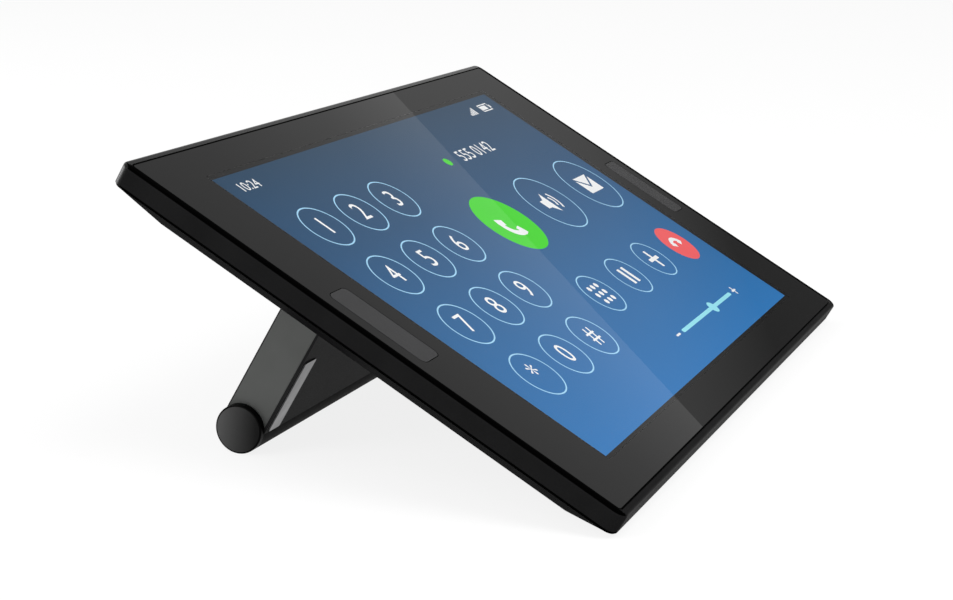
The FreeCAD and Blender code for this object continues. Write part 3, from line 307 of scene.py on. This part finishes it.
def gloss(tree, bsdf, pattern, rough, shine):
    """Gives a surface its shine, and a roughness that a pattern makes uneven."""
    uneven = spread(tree, pattern, rough - GLOSS_SPREAD, rough + GLOSS_SPREAD)
    tree.links.new(uneven, bsdf.inputs["Roughness"])
    bsdf.inputs["Specular IOR Level"].default_value = shine


def satin(tree, bsdf, place, tone, rough, shine, depth, grain=SATIN_GRAIN):
    """Gives a surface its tone and a fine grain, in its gloss and in relief."""
    fine = noise(tree, place, grain, detail=GRAIN_DETAIL)
    tree.links.new(tone, bsdf.inputs["Base Color"])
    gloss(tree, bsdf, fine, rough, shine)
    relief(tree, bsdf, fine, depth)


def moulded(name, colour, rough, shine, grain=SATIN_GRAIN, depth=0.004, mottle=0.12):
    """Moulded plastic or rubber: a spark-eroded grain, a slight mottle and uneven gloss."""
    look, tree, bsdf, place = shader(name)
    satin(tree, bsdf, place, mottled(tree, place, colour, mottle), rough, shine, depth, grain)
    return look


def frame_plastic(name, band, wall, rough, shine):
    """Satin plastic with painted shade: black in a band left and right of the glass, where its groove falls dark,
    and a painted shadow of the parting gap along its lower edge.
    """
    look, tree, bsdf, place = shader(name)
    # painted shade of the groove beside the glass, left and right
    ends = [along(tree, place, axis, *BAND_EDGE) for axis in (ACROSS, -ACROSS)]
    sides = combine(tree, "MAXIMUM", *ends)
    rim = combine(tree, "MULTIPLY", sides, along(tree, place, OUT, *BAND_FOOT))
    # painted shadow of the parting gap along the frame's lower edge
    dark = combine(tree, "MAXIMUM", rim, edge_band(tree, place, "front_frame", -OUT, GAP_SHADE_WIDTH))
    tone = mixed(tree, dark, mottled(tree, place, wall, 0.1), band)
    satin(tree, bsdf, place, tone, rough, shine, depth=0.002)
    return look


def painted_highlight_plastic(name, highlight_levels, rough, shine):
    """Satin plastic with a painted highlight, its grey rising through three levels from its left end to its right.
    """
    look, tree, bsdf, place = shader(name)
    share = along(tree, place, ACROSS, -BAND_EDGE[0], BAND_EDGE[0])
    left, middle, right = highlight_levels
    # painted highlight: darkest at the left end, lightest at the right
    tone = tint(tree, share, (0.0, grey(left)), (0.5, grey(middle)), (1.0, grey(right)))
    satin(tree, bsdf, place, tone, rough, shine, depth=0.001)
    return look


def end_plate(name, band, face, rough, shine):
    """Grained grey plastic with a black rear edge."""
    look, tree, bsdf, place = shader(name)
    dark = edge_band(tree, place, "leg_end_plate_left", UP_GLASS, PLATE_BAND)
    tone = mixed(tree, dark, mottled(tree, place, face, 0.06), band)
    satin(tree, bsdf, place, tone, rough, shine, depth=0.004, grain=0.6)
    return look


def cap_with_painted_shade(name, band, front, rear, rough, shine):
    """Satin plastic with a painted shade that lightens from the front of the foot to its rear, and a black ring
    round it.
    """
    look, tree, bsdf, place = shader(name)
    low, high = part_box("foot_cap_left")
    ends = [(edge - GLASS_CENTRE).y / MM for edge in (low, high)]
    # painted shade: the face is darker at the front of the foot and lighter at its rear
    face = tint(tree, along(tree, place, BACKWARD, *ends), (0.1, front), (0.9, rear))
    ring_start = (high - low).y / 2 - CAP_BAND * MM
    radius = distance(tree, place, (low + high) / 2)
    ring = spread(tree, radius, 0.0, 1.0, ring_start - BAND_BLUR * MM, ring_start)
    satin(tree, bsdf, place, mixed(tree, ring, face, band), rough, shine, depth=0.003)
    return look


def printed(name, colour, rough, shine):
    """Smooth black print or film."""
    look, tree, bsdf, place = shader(name)
    broad = noise(tree, place, PRINT_PATCH_SIZE)
    tone = shades(tree, broad, scaled(colour, 0.9), scaled(colour, 1.1))
    tree.links.new(tone, bsdf.inputs["Base Color"])
    gloss(tree, bsdf, broad, rough, shine)
    return look


def brushed(name, colour, rough, drawn=ACROSS):
    """Rolled or brushed metal: streaks drawn out along one axis, or along none."""
    look, tree, bsdf, place = shader(name)
    stretch = [1.0 + STREAK_STRETCH * d for d in drawn]
    streaks = noise(tree, place, STREAK_SIZE, detail=PATCH_DETAIL, stretch=stretch)
    cloud = noise(tree, place, CLOUD_SIZE)
    tone = shades(tree, streaks, scaled(colour, 1.0 - STREAK_SHARE), colour)
    tree.links.new(tone, bsdf.inputs["Base Color"])
    tree.links.new(spread(tree, cloud, rough - METAL_SPREAD, rough + METAL_SPREAD), bsdf.inputs["Roughness"])
    bsdf.inputs["Metallic"].default_value = 1.0
    relief(tree, bsdf, streaks, STREAK_DEPTH)
    return look


def wiped(tree, place):
    """The tint of wiped glass, a trace uneven."""
    wipe = noise(tree, place, WIPE_SIZE, detail=PATCH_DETAIL)
    return shades(tree, wipe, (0.975, 0.985, 0.99), (0.99, 0.995, 1.0))


def clear_glass(name):
    """Cover glass with a trace of wiping marks, clear over the display and black over the print round it."""
    look, tree, bsdf, place = shader(name)
    half_w = SCREEN_W / 2 + CLEAR_MARGIN
    half_h = SCREEN_H / 2 + CLEAR_MARGIN
    across = [inside(tree, place, axis, half_w) for axis in (ACROSS, -ACROSS)]
    upward = [inside(tree, place, axis, half_h) for axis in (UP_GLASS, -UP_GLASS)]
    spans = [combine(tree, "MULTIPLY", *pair) for pair in (across, upward)]
    clear = combine(tree, "MULTIPLY", *spans)
    covered = spread(tree, clear, 1.0, 0.0, 0.0, 1.0)
    tree.links.new(mixed(tree, covered, wiped(tree, place), grey(0.002)), bsdf.inputs["Base Color"])
    tree.links.new(clear, bsdf.inputs["Transmission Weight"])
    bsdf.inputs["Roughness"].default_value = 0.0
    bsdf.inputs["IOR"].default_value = GLASS_IOR
    return look


def bonded_glass(name):
    """The back of the cover glass, bonded to the display, so that it mirrors nothing."""
    look, tree, bsdf, place = shader(name)
    tree.links.new(wiped(tree, place), bsdf.inputs["Base Color"])
    bsdf.inputs["Transmission Weight"].default_value = 1.0
    bsdf.inputs["Roughness"].default_value = 0.0
    bsdf.inputs["IOR"].default_value = BOND_IOR
    return look


def circuit_board(name):
    """Green solder mask over a web of tracks."""
    look, tree, bsdf, place = shader(name)
    tracks = tree.nodes.new("ShaderNodeTexBrick")
    tracks.inputs["Scale"].default_value = 260.0
    tracks.inputs["Mortar Size"].default_value = 0.03
    tracks.inputs["Color1"].default_value = (0.012, 0.09, 0.035, 1.0)
    tracks.inputs["Color2"].default_value = (0.016, 0.11, 0.045, 1.0)
    tracks.inputs["Mortar"].default_value = (0.03, 0.19, 0.07, 1.0)
    tree.links.new(place, tracks.inputs["Vector"])
    tree.links.new(tracks.outputs["Color"], bsdf.inputs["Base Color"])
    cloud = noise(tree, place, MASK_CLOUD_SIZE)
    tree.links.new(spread(tree, cloud, 0.25, 0.4), bsdf.inputs["Roughness"])
    relief(tree, bsdf, tracks.outputs["Fac"], 0.01)
    return look


def glow(tree, bsdf, colour):
    """Makes the surface shine with the colour and reflect next to nothing."""
    bsdf.inputs["Base Color"].default_value = (*grey(0.002), 1.0)
    bsdf.inputs["Specular IOR Level"].default_value = 0.0
    bsdf.inputs["Emission Strength"].default_value = 1.0
    tree.links.new(colour, bsdf.inputs["Emission Color"])


def lit_image(name):
    """The display's background: a blue that deepens up the screen."""
    look, tree, bsdf, place = shader(name)
    share = along(tree, place, UP_GLASS, -SCREEN_H / 2, SCREEN_H / 2)
    colour = tint(
        tree, share,
        (0.0, (0.02, 0.19, 0.51)),
        (0.35, (0.017, 0.138, 0.35)),
        (0.7, (0.01, 0.076, 0.185)),
        (1.0, (0.006, 0.047, 0.105)),
    )
    glow(tree, bsdf, colour)
    return look


def lit_mark(name, colour):
    """A lit mark of the display, a shade uneven as the backlight is."""
    look, tree, bsdf, place = shader(name)
    cloud = noise(tree, place, BACKLIGHT_CLOUD_SIZE)
    glow(tree, bsdf, shades(tree, cloud, scaled(colour, 0.94), colour))
    return look


def finishes():
    """One material for each material slot of the record."""
    return {
        "clear_glass": clear_glass("clear_glass"),
        "border_black": printed("border_black", grey(0.003), rough=0.5, shine=0.0),
        "display_cell": printed("display_cell", (0.008, 0.009, 0.012), rough=0.3, shine=0.0),
        "light_guide": moulded("light_guide", (0.78, 0.8, 0.82), rough=0.2, shine=0.5, mottle=0.04),
        "sheet_metal": brushed("sheet_metal", (0.62, 0.63, 0.64), rough=0.35),
        "flex_amber": moulded("flex_amber", (0.42, 0.17, 0.03), rough=0.35, shine=0.4, mottle=0.2),
        "sensor_window": moulded(
            "sensor_window", (0.016, 0.016, 0.017), rough=0.22, shine=0.3, grain=0.8, depth=0.0002,
        ),
        "board_green": circuit_board("board_green"),
        "component_black": moulded("component_black", grey(0.02), rough=0.5, shine=0.4),
        # grey(0.0005) is the painted shade of the frame's bands beside the glass and along its lower edge
        "frame_black": frame_plastic("frame_black", grey(0.0005), FRAME_BLACK, rough=0.3, shine=0.00045),
        "cover_black": moulded("cover_black", (0.0045, 0.0045, 0.0047), rough=0.5, shine=0.001),
        "key_black": moulded("key_black", grey(0.012), rough=0.36, shine=0.2),
        "shield_steel": brushed("shield_steel", (0.68, 0.67, 0.64), rough=0.3, drawn=BACKWARD),
        "thermal_grey": moulded("thermal_grey", (0.3, 0.32, 0.36), rough=0.8, shine=0.2),
        "screw_steel": brushed("screw_steel", (0.045, 0.045, 0.047), rough=0.35, drawn=Vector()),
        "washer_bronze": brushed("washer_bronze", (0.5, 0.32, 0.15), rough=0.35),
        "hinge_zinc": moulded(
            "hinge_zinc", (0.014, 0.014, 0.015), rough=0.45, shine=0.12, grain=0.8, depth=0.008,
        ),
        "pin_steel": brushed("pin_steel", (0.56, 0.56, 0.57), rough=0.25),
        "core_aluminium": brushed("core_aluminium", (0.6, 0.61, 0.62), rough=0.4),
        # leg_black, on the leg's front, is painted light: lighter than the back so that the front rises out of the
        # head's shade
        "leg_black": moulded("leg_black", (0.0155, 0.0155, 0.0158), rough=0.5, shine=0.012),
        "end_grey": end_plate("end_grey", grey(0.002), (0.078, 0.081, 0.078), rough=0.42, shine=0.25),
        "badge_silver": brushed("badge_silver", (0.2, 0.2, 0.205), rough=0.4, drawn=UPRIGHT),
        "foot_rubber": moulded("foot_rubber", grey(0.008), rough=0.6, shine=0.02, grain=0.9, depth=0.01),
        # the cap's front and rear greys are its painted shade; the first grey is its black ring
        "cap_black": cap_with_painted_shade("cap_black", grey(0.001), grey(0.011), grey(0.078), rough=0.4, shine=0.03),
        "pad_rubber": moulded("pad_rubber", grey(0.014), rough=0.75, shine=0.15, grain=0.9, depth=0.012),
    }


def dress_nodes(looks):
    """Gives every CAD node the material of its slot."""
    for row in frame["record"]["subparts"]:
        materials = frame["nodes"][row["node"]].data.materials
        materials.clear()
        materials.append(looks[row["material_slot"]])


def grain_leg_back():
    """Gives the back of the leg, which faces the room, a coarser grain and a darker tone than its front; the
    front's lighter tone is painted light that lifts it out of the shade under the head.
    """
    materials = frame["nodes"]["leg_back_cover"].data.materials
    materials[0] = moulded(
        "leg_back_black", (0.011, 0.011, 0.0113), rough=0.5, shine=0.08, grain=0.7, depth=0.008, mottle=0.15,
    )


def grain_and_light_bottom():
    """Gives the bottom of the rear cover and its front and rear slopes a coarser grain and a lighter tone than its
    sides; the lighter tone is painted light that lifts these shaded faces.
    """
    mesh = frame["nodes"]["rear_cover"].data
    # painted light: a lighter copy of the cover's plastic for the faces that point down, forward and back
    bottom = moulded("bottom_lit_black", grey(0.011), rough=0.5, shine=0.12, grain=0.8, depth=0.01, mottle=0.15)
    mesh.materials.append(bottom)
    for face in mesh.polygons:
        if abs(face.normal.x) < LEANING:
            face.material_index = 1


def finish_glass():
    """Gives the ground edge of the cover glass a black of its own, and its back the look of a bonded face."""
    mesh = frame["nodes"]["cover_glass"].data
    mesh.materials.append(printed("glass_edge", grey(0.002), rough=0.5, shine=0.004))
    mesh.materials.append(bonded_glass("bonded_glass"))
    for face in mesh.polygons:
        turn = face.normal.dot(OUT)
        if turn < -SQUARE:
            face.material_index = 2
        elif turn < SQUARE:
            face.material_index = 1


def polish_frame():
    """Gives the frame's rims and its rear wall, worn smooth by hands, more gloss than the rest, and the rear rim
    and rear corners a painted highlight.
    """
    mesh = frame["nodes"]["front_frame"].data
    # painted highlight: the rear rim and rear corners get a grey that brightens from left to right
    mesh.materials.append(painted_highlight_plastic("rear_rim_highlight", RIM_HIGHLIGHT, rough=0.3, shine=0.1))
    mesh.materials.append(moulded("worn_front", FRAME_BLACK, rough=0.3, shine=0.006, depth=0.001))
    mesh.materials.append(moulded("rear_wall", FRAME_BLACK, rough=0.4, shine=0.1, depth=0.002))
    rear = reach("cover_glass", UP_GLASS)
    front = reach("cover_glass", -UP_GLASS)
    for face in mesh.polygons:
        middle = (face.center - GLASS_CENTRE) / MM
        rise = middle.dot(UP_GLASS)
        backward = face.normal.dot(UP_GLASS)
        rim = face.normal.dot(OUT) > LEANING and abs(middle.x) < BAND_EDGE[0]
        rear_corner = backward > LEANING and abs(face.normal.x) > LEANING
        if rear_corner or rim and rise > rear:
            face.material_index = 1
        elif rim and rise < -front:
            face.material_index = 2
        elif rise > rear and backward > FACING:
            face.material_index = 3


# The display's picture: a plain dialling page, as thin lit layers under the glass

class Layer:
    """Flat shapes of one colour on one level of the display, gathered into one closed mesh."""

    def __init__(self, name, level, look):
        self.name = name
        self.level = level
        self.look = look
        self.mesh = bmesh.new()

    def prism(self, outline):
        """A plate with the given (u, v) outline, counter-clockwise."""
        low = [self.mesh.verts.new(at(u, v, self.level)) for u, v in outline]
        top = [self.mesh.verts.new(at(u, v, self.level + LAYER)) for u, v in outline]
        self.mesh.faces.new(top)
        self.mesh.faces.new(low[::-1])
        for i in range(len(outline)):
            self.mesh.faces.new((low[i - 1], low[i], top[i], top[i - 1]))

    def disc(self, u, v, radius, steps=96):
        self.prism([polar(u, v, radius, 360.0 * i / steps) for i in range(steps)])

    def bar(self, u, v, width, height, radius, steps=8):
        """A rectangle with round corners about (u, v)."""
        outline = []
        for corner, (su, sv) in enumerate(((1, 1), (-1, 1), (-1, -1), (1, -1))):
            cu = u + su * (width / 2 - radius)
            cv = v + sv * (height / 2 - radius)
            outline += [polar(cu, cv, radius, 90.0 * (corner + i / steps)) for i in range(steps + 1)]
        self.prism(outline)

    def plus(self, u, v, size, line, radius):
        """A plus sign about (u, v)."""
        self.bar(u, v, size, line, radius)
        self.bar(u, v, line, size, radius)

    def arc(self, u, v, inner, outer, start, turn, steps=24):
        """A band of a ring between two radii, open at its ends."""
        angles = [start + turn * i / steps for i in range(steps + 1)]
        far = [polar(u, v, outer, a) for a in angles]
        near = [polar(u, v, inner, a) for a in angles]
        self.prism(far + near[::-1])

    def ring(self, u, v, radius, line, steps=96):
        """A closed ring, its line laid inside the radius."""
        loops = []
        for r in (radius, radius - line):
            for n in (self.level, self.level + LAYER):
                points = [polar(u, v, r, 360.0 * i / steps) for i in range(steps)]
                loops.append([self.mesh.verts.new(at(pu, pv, n)) for pu, pv in points])
        outer_low, outer_top, inner_low, inner_top = loops
        for first, second in ((outer_low, outer_top), (outer_top, inner_top),
                              (inner_top, inner_low), (inner_low, outer_low)):
            for i in range(steps):
                self.mesh.faces.new((first[i - 1], first[i], second[i], second[i - 1]))

    def figures(self, text, u, v, height):
        """Plain figures centred on (u, v)."""
        curve = bpy.data.curves.new("figures", "FONT")
        curve.body = text
        curve.align_x = "CENTER"
        curve.align_y = "CENTER"
        curve.size = height
        curve.extrude = LAYER / 2
        carrier = bpy.data.objects.new("figures", curve)
        solid = bpy.data.meshes.new_from_object(carrier)
        for vertex in solid.vertices:
            vertex.co = at(u + vertex.co.x, v + vertex.co.y, self.level + LAYER / 2 + vertex.co.z)
        self.mesh.from_mesh(solid)
        bpy.data.objects.remove(carrier)
        bpy.data.curves.remove(curve)
        bpy.data.meshes.remove(solid)

    def finish(self):
        """Turns the layer into a piece of the head."""
        mesh = bpy.data.meshes.new(self.name)
        bmesh.ops.recalc_face_normals(self.mesh, faces=self.mesh.faces)
        self.mesh.to_mesh(mesh)
        self.mesh.free()
        mesh.materials.append(self.look)
        piece = bpy.data.objects.new(self.name, mesh)
        bpy.context.scene.collection.objects.link(piece)
        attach(piece, "head")


def polar(u, v, radius, angle):
    """The point at a radius and an angle in degrees from (u, v)."""
    a = math.radians(angle)
    return u + radius * math.cos(a), v + radius * math.sin(a)


# The page, in millimetres from the middle of the display: first its dial keys
RING_LINE = 0.5
KEY_RADIUS = 9.4
KEY_PITCH = 25.0
KEYS_LEFT = -88.0
KEYS_TOP = 38.0
KEY_FIGURES = ("123", "456", "789", "*0#")
FIGURE_HEIGHT = 11.0

# Row of three big keys
BIG_RADIUS = 14.7
ANSWER = (4.0, 12.0)
SPEAKER = (46.0, 12.0)
MESSAGES = (88.0, 12.0)
BIG_MARK = 7.0
ANSWER_TURN = 225.0
ENVELOPE_SIZE = (13.0, 9.0)

# Row of four small keys
LOW_ROW = -27.0
GRID_U = -2.0
GRID_PITCH = 3.4
GRID_DOT = 1.1
HOLD_U = 28.0
HOLD_OFFSET = 2.0
HOLD_BAR = (2.0, 8.0)
ADD_U = 58.0
ADD_SIZE = 9.0
ADD_LINE = 1.6
MARK_ROUND = 0.4
END_U = 88.0
END_DROP = 1.5
END_MARK = 5.0
END_TURN = 90.0

# Number on show, with a dot before it
READOUT = (46.0, 44.0)
READOUT_HEIGHT = 8.0
READOUT_DOT = 2.0
READOUT_DOT_OFFSET = 26.0

# Volume slider, with a sign at each end
SLIDER = (43.0, -54.0)
SLIDER_LENGTH = 62.0
SLIDER_LINE = 1.5
SLIDER_ROUND = 0.74         # just under half the line
KNOB_SHARE = 0.62
KNOB_RADIUS = 2.6
SIGN_GAP = 5.0
SIGN_SIZE = 4.0
SIGN_LINE = 0.8
SIGN_ROUND = 0.3

# Status line
STATUS_V = 61.5
STATUS_ROUND = 0.2
CLOCK_U = -96.0
CLOCK_HEIGHT = 5.5
SIGNAL_BARS = 4
SIGNAL_U = 79.0
SIGNAL_PITCH = 1.7
SIGNAL_BAR_W = 1.1
SIGNAL_BASE = 2.0           # foot of the bars below the line
SIGNAL_LOWEST = 1.2
SIGNAL_STEP = 0.9
BATTERY_U = 95.0
BATTERY_W = 9.0
BATTERY_H = 4.0
BATTERY_LINE = 0.5
BATTERY_SIDE_V = 1.8        # middle of its long sides from the line
CHARGE_U = 94.0
CHARGE_SIZE = (5.6, 2.2)
TERMINAL_U = 100.2
TERMINAL_SIZE = (0.8, 1.6)


def receiver(layer, u, v, size, turn):
    """A plain handset mark: a curved grip with two blocks at its ends, turned by an angle."""
    half_sweep = 62.0
    layer.arc(u, v, size * 0.62, size, turn - half_sweep, 2 * half_sweep)
    block = [(-0.3, -0.2), (0.3, -0.2), (0.3, 0.2), (-0.3, 0.2)]
    for side in (-1, 1):
        angle = turn + side * half_sweep
        cu, cv = polar(u, v, size * 0.72, angle)
        c, s = math.cos(math.radians(angle)), math.sin(math.radians(angle))
        layer.prism([(cu + size * (a * c - b * s), cv + size * (a * s + b * c)) for a, b in block])


def loudspeaker(layer, u, v, size):
    """A cone with two waves before it."""
    cone = ((-0.9, -0.3), (-0.5, -0.3), (0.0, -0.75), (0.0, 0.75), (-0.5, 0.3), (-0.9, 0.3))
    layer.prism([(u + size * a, v + size * b) for a, b in cone])
    half_line = 0.07
    for radius in (0.45, 0.8):
        layer.arc(u, v, size * (radius - half_line), size * (radius + half_line), -45.0, 90.0)


def envelope(layer, u, v, width, height):
    """A flap over a body, with a gap between the two."""
    gap = 1.3
    left, right = u - width / 2, u + width / 2
    low, top = v - height / 2, v + height / 2
    fold = v - height * 0.08
    layer.prism([(left, top), (u, fold), (right, top)])
    layer.prism([(left, top - gap), (left, low), (right, low), (right, top - gap), (u, fold - gap)])


def status_line(layer):
    """Clock figures on the left, signal bars and a battery on the right."""
    layer.figures("10:24", CLOCK_U, STATUS_V, CLOCK_HEIGHT)
    for i in range(SIGNAL_BARS):
        height = SIGNAL_LOWEST + SIGNAL_STEP * i
        middle = STATUS_V - SIGNAL_BASE + height / 2
        layer.bar(SIGNAL_U + SIGNAL_PITCH * i, middle, SIGNAL_BAR_W, height, STATUS_ROUND)
    end_u = (BATTERY_W - BATTERY_LINE) / 2
    for side in (-1, 1):
        layer.bar(BATTERY_U, STATUS_V + side * BATTERY_SIDE_V, BATTERY_W, BATTERY_LINE, STATUS_ROUND)
        layer.bar(BATTERY_U + side * end_u, STATUS_V, BATTERY_LINE, BATTERY_H, STATUS_ROUND)
    layer.bar(CHARGE_U, STATUS_V, *CHARGE_SIZE, STATUS_ROUND)
    layer.bar(TERMINAL_U, STATUS_V, *TERMINAL_SIZE, STATUS_ROUND)


def dial_keys(rings, marks):
    """Rings with a figure in each."""
    for row, figures in enumerate(KEY_FIGURES):
        for column, figure in enumerate(figures):
            u = KEYS_LEFT + KEY_PITCH * column
            v = KEYS_TOP - KEY_PITCH * row
            rings.ring(u, v, KEY_RADIUS, RING_LINE)
            marks.figures(figure, u, v, FIGURE_HEIGHT)


def big_keys(rings, marks, green):
    """Answer, loudspeaker and messages."""
    green.disc(*ANSWER, BIG_RADIUS)
    receiver(marks, *ANSWER, BIG_MARK, ANSWER_TURN)
    for centre in (SPEAKER, MESSAGES):
        rings.ring(*centre, BIG_RADIUS, RING_LINE)
    loudspeaker(marks, *SPEAKER, BIG_MARK)
    envelope(marks, *MESSAGES, *ENVELOPE_SIZE)


def small_keys(rings, marks, red):
    """Key pad, hold, add and end."""
    for u in (GRID_U, HOLD_U, ADD_U):
        rings.ring(u, LOW_ROW, KEY_RADIUS, RING_LINE)
    for row in (-1, 0, 1):
        for column in (-1, 0, 1):
            marks.disc(GRID_U + GRID_PITCH * column, LOW_ROW + GRID_PITCH * row, GRID_DOT, steps=24)
    for side in (-1, 1):
        marks.bar(HOLD_U + side * HOLD_OFFSET, LOW_ROW, *HOLD_BAR, MARK_ROUND)
    marks.plus(ADD_U, LOW_ROW, ADD_SIZE, ADD_LINE, MARK_ROUND)
    red.disc(END_U, LOW_ROW, KEY_RADIUS)
    receiver(marks, END_U, LOW_ROW - END_DROP, END_MARK, END_TURN)


def readout(marks, green):
    """A made-up number with a green dot before it."""
    u, v = READOUT
    green.disc(u - READOUT_DOT_OFFSET, v, READOUT_DOT, steps=32)
    marks.figures("555 0142", u, v, READOUT_HEIGHT)


def slider(marks, cyan):
    """A line with a knob on it, between a minus and a plus."""
    u, v = SLIDER
    sign_u = SLIDER_LENGTH / 2 + SIGN_GAP
    cyan.bar(u, v, SLIDER_LENGTH, SLIDER_LINE, SLIDER_ROUND)
    cyan.disc(u + SLIDER_LENGTH * (KNOB_SHARE - 0.5), v, KNOB_RADIUS, steps=48)
    marks.bar(u - sign_u, v, SIGN_SIZE, SIGN_LINE, SIGN_ROUND)
    marks.plus(u + sign_u, v, SIGN_SIZE, SIGN_LINE, SIGN_ROUND)


def dialling_page():
    """All layers of the display's picture."""
    image = Layer("screen_image", IMAGE_LEVEL, lit_image("screen_image"))
    image.bar(0.0, 0.0, SCREEN_W, SCREEN_H, SCREEN_ROUND)
    rings = Layer("screen_rings", FACE_LEVEL, lit_mark("screen_rings", (0.4, 0.74, 1.0)))
    marks = Layer("screen_marks", MARK_LEVEL, lit_mark("screen_marks", (1.0, 1.0, 1.0)))
    green = Layer("screen_answer_key", FACE_LEVEL, lit_mark("screen_answer_key", (0.045, 0.74, 0.003)))
    red = Layer("screen_end_key", FACE_LEVEL, lit_mark("screen_end_key", (1.0, 0.12, 0.128)))
    cyan = Layer("screen_slider", FACE_LEVEL, lit_mark("screen_slider", (0.35, 0.88, 1.0)))
    dial_keys(rings, marks)
    big_keys(rings, marks, green)
    small_keys(rings, marks, red)
    readout(marks, green)
    slider(marks, cyan)
    status_line(marks)
    for layer in (image, rings, marks, green, red, cyan):
        layer.finish()


# Stage, light and camera

def seen_ray(tree):
    """1 for rays that show the background directly, in a reflection or through glass."""
    path = tree.nodes.new("ShaderNodeLightPath").outputs
    mirrored = combine(tree, "MAXIMUM", path["Is Glossy Ray"], path["Is Transmission Ray"])
    return combine(tree, "MAXIMUM", path["Is Camera Ray"], mirrored)


def sky():
    """A white sky that lights the object at its own level."""
    world = bpy.data.worlds.new("studio")
    bpy.context.scene.world = world
    world.use_nodes = True
    tree = world.node_tree
    background = tree.nodes["Background"]
    background.inputs["Color"].default_value = (1.0, 1.0, 1.0, 1.0)
    strength = spread(tree, seen_ray(tree), SKY_LEVEL, 1.0, 0.0, 1.0)
    tree.links.new(strength, background.inputs["Strength"])


def stage_sheet(name, corners, look):
    """A flat sheet that belongs to the stage."""
    mesh = bpy.data.meshes.new(name)
    mesh.from_pydata(corners, [], [(0, 1, 2, 3)])
    mesh.materials.append(look)
    sheet = bpy.data.objects.new(name, mesh)
    bpy.context.scene.collection.objects.link(sheet)
    return sheet


def floor():
    """A pale floor, mostly plain white where it is seen, which keeps the object's shadow."""
    look, tree, bsdf, place = shader("floor")
    cloud = noise(tree, place, FLOOR_PATCH_SIZE)
    tone = shades(tree, cloud, grey(FLOOR_LEVEL), grey(FLOOR_LEVEL + FLOOR_PATCHES))
    tree.links.new(tone, bsdf.inputs["Base Color"])
    bsdf.inputs["Roughness"].default_value = 0.9
    bsdf.inputs["Specular IOR Level"].default_value = 0.0
    white = tree.nodes.new("ShaderNodeEmission")
    blend = tree.nodes.new("ShaderNodeMixShader")
    tree.links.new(spread(tree, seen_ray(tree), 0.0, FLOOR_WHITE, 0.0, 1.0), blend.inputs["Fac"])
    tree.links.new(bsdf.outputs["BSDF"], blend.inputs[1])
    tree.links.new(white.outputs["Emission"], blend.inputs[2])
    tree.links.new(blend.outputs["Shader"], tree.nodes["Material Output"].inputs["Surface"])
    half = FLOOR_SIZE / 2
    stage_sheet("floor", [(-half, -half, 0), (half, -half, 0), (half, half, 0), (-half, half, 0)], look)


def card(name, rise, axis, low, high, levels):
    """A card that rises from the meeting line, its levels laid out between two places along an axis."""
    look, tree, bsdf, place = shader(name)
    stops = [(position, grey(level)) for position, level in levels]
    glow(tree, bsdf, tint(tree, along(tree, place, axis, low, high), *stops))
    near = [CARD_MIDDLE - CARD_ALONG * CARD_FRONT, CARD_MIDDLE + CARD_ALONG * CARD_REAR]
    corners = near + [corner + CARD_UP * rise for corner in near[::-1]]
    sheet = stage_sheet(name, [GLASS_CENTRE + corner * MM for corner in corners], look)
    sheet.visible_camera = False
    sheet.visible_diffuse = False
    sheet.visible_shadow = False


def cards():
    """An upper and a lower card that meet in one line."""
    line = CARD_MIDDLE.dot(CARD_UP)
    card("upper_card", CARD_RISE, CARD_UP, line, line + CARD_RISE, UPPER_LEVELS)
    card("lower_card", -CARD_DROP, UPRIGHT, *LOWER_HEIGHTS, LOWER_LEVELS)


def softbox(name, place, size, power, mirrored):
    """A square area light, turned to the middle of the glass, and seen in gloss or not."""
    lamp = bpy.data.lights.new(name, "AREA")
    lamp.size = size
    lamp.energy = power
    box = bpy.data.objects.new(name, lamp)
    box.location = place
    box.rotation_mode = "QUATERNION"
    box.rotation_quaternion = (GLASS_CENTRE - Vector(place)).to_track_quat("-Z", "Y")
    box.visible_glossy = mirrored
    bpy.context.scene.collection.objects.link(box)


def camera():
    """The camera at the place, turn and lens that show the object as it is photographed."""
    azimuth = math.radians(CAMERA_AZIMUTH)
    elevation = math.radians(CAMERA_ELEVATION)
    back = Vector((
        math.sin(azimuth) * math.cos(elevation),
        -math.cos(azimuth) * math.cos(elevation),
        math.sin(elevation),
    ))
    right = UPRIGHT.cross(back).normalized()
    turned = Matrix((right, back.cross(right), back)).transposed().to_4x4()
    lens = bpy.data.cameras.new("camera")
    lens.lens = CAMERA_LENS
    lens.sensor_width = CAMERA_SENSOR
    lens.clip_start, lens.clip_end = CAMERA_CLIP
    viewer = bpy.data.objects.new("camera", lens)
    place = Matrix.Translation(GLASS_CENTRE + Vector(CAMERA_PLACE) * MM)
    viewer.matrix_world = place @ turned @ Matrix.Rotation(math.radians(CAMERA_ROLL), 4, "Z")
    bpy.context.scene.collection.objects.link(viewer)
    bpy.context.scene.camera = viewer


bpy.context.scene.view_settings.view_transform = "Standard"
dress_nodes(finishes())
grain_leg_back()
grain_and_light_bottom()
finish_glass()
polish_frame()
dialling_page()
sky()
floor()
for lamp_name, settings in LAMPS.items():
    softbox(lamp_name, *settings)
cards()
camera()
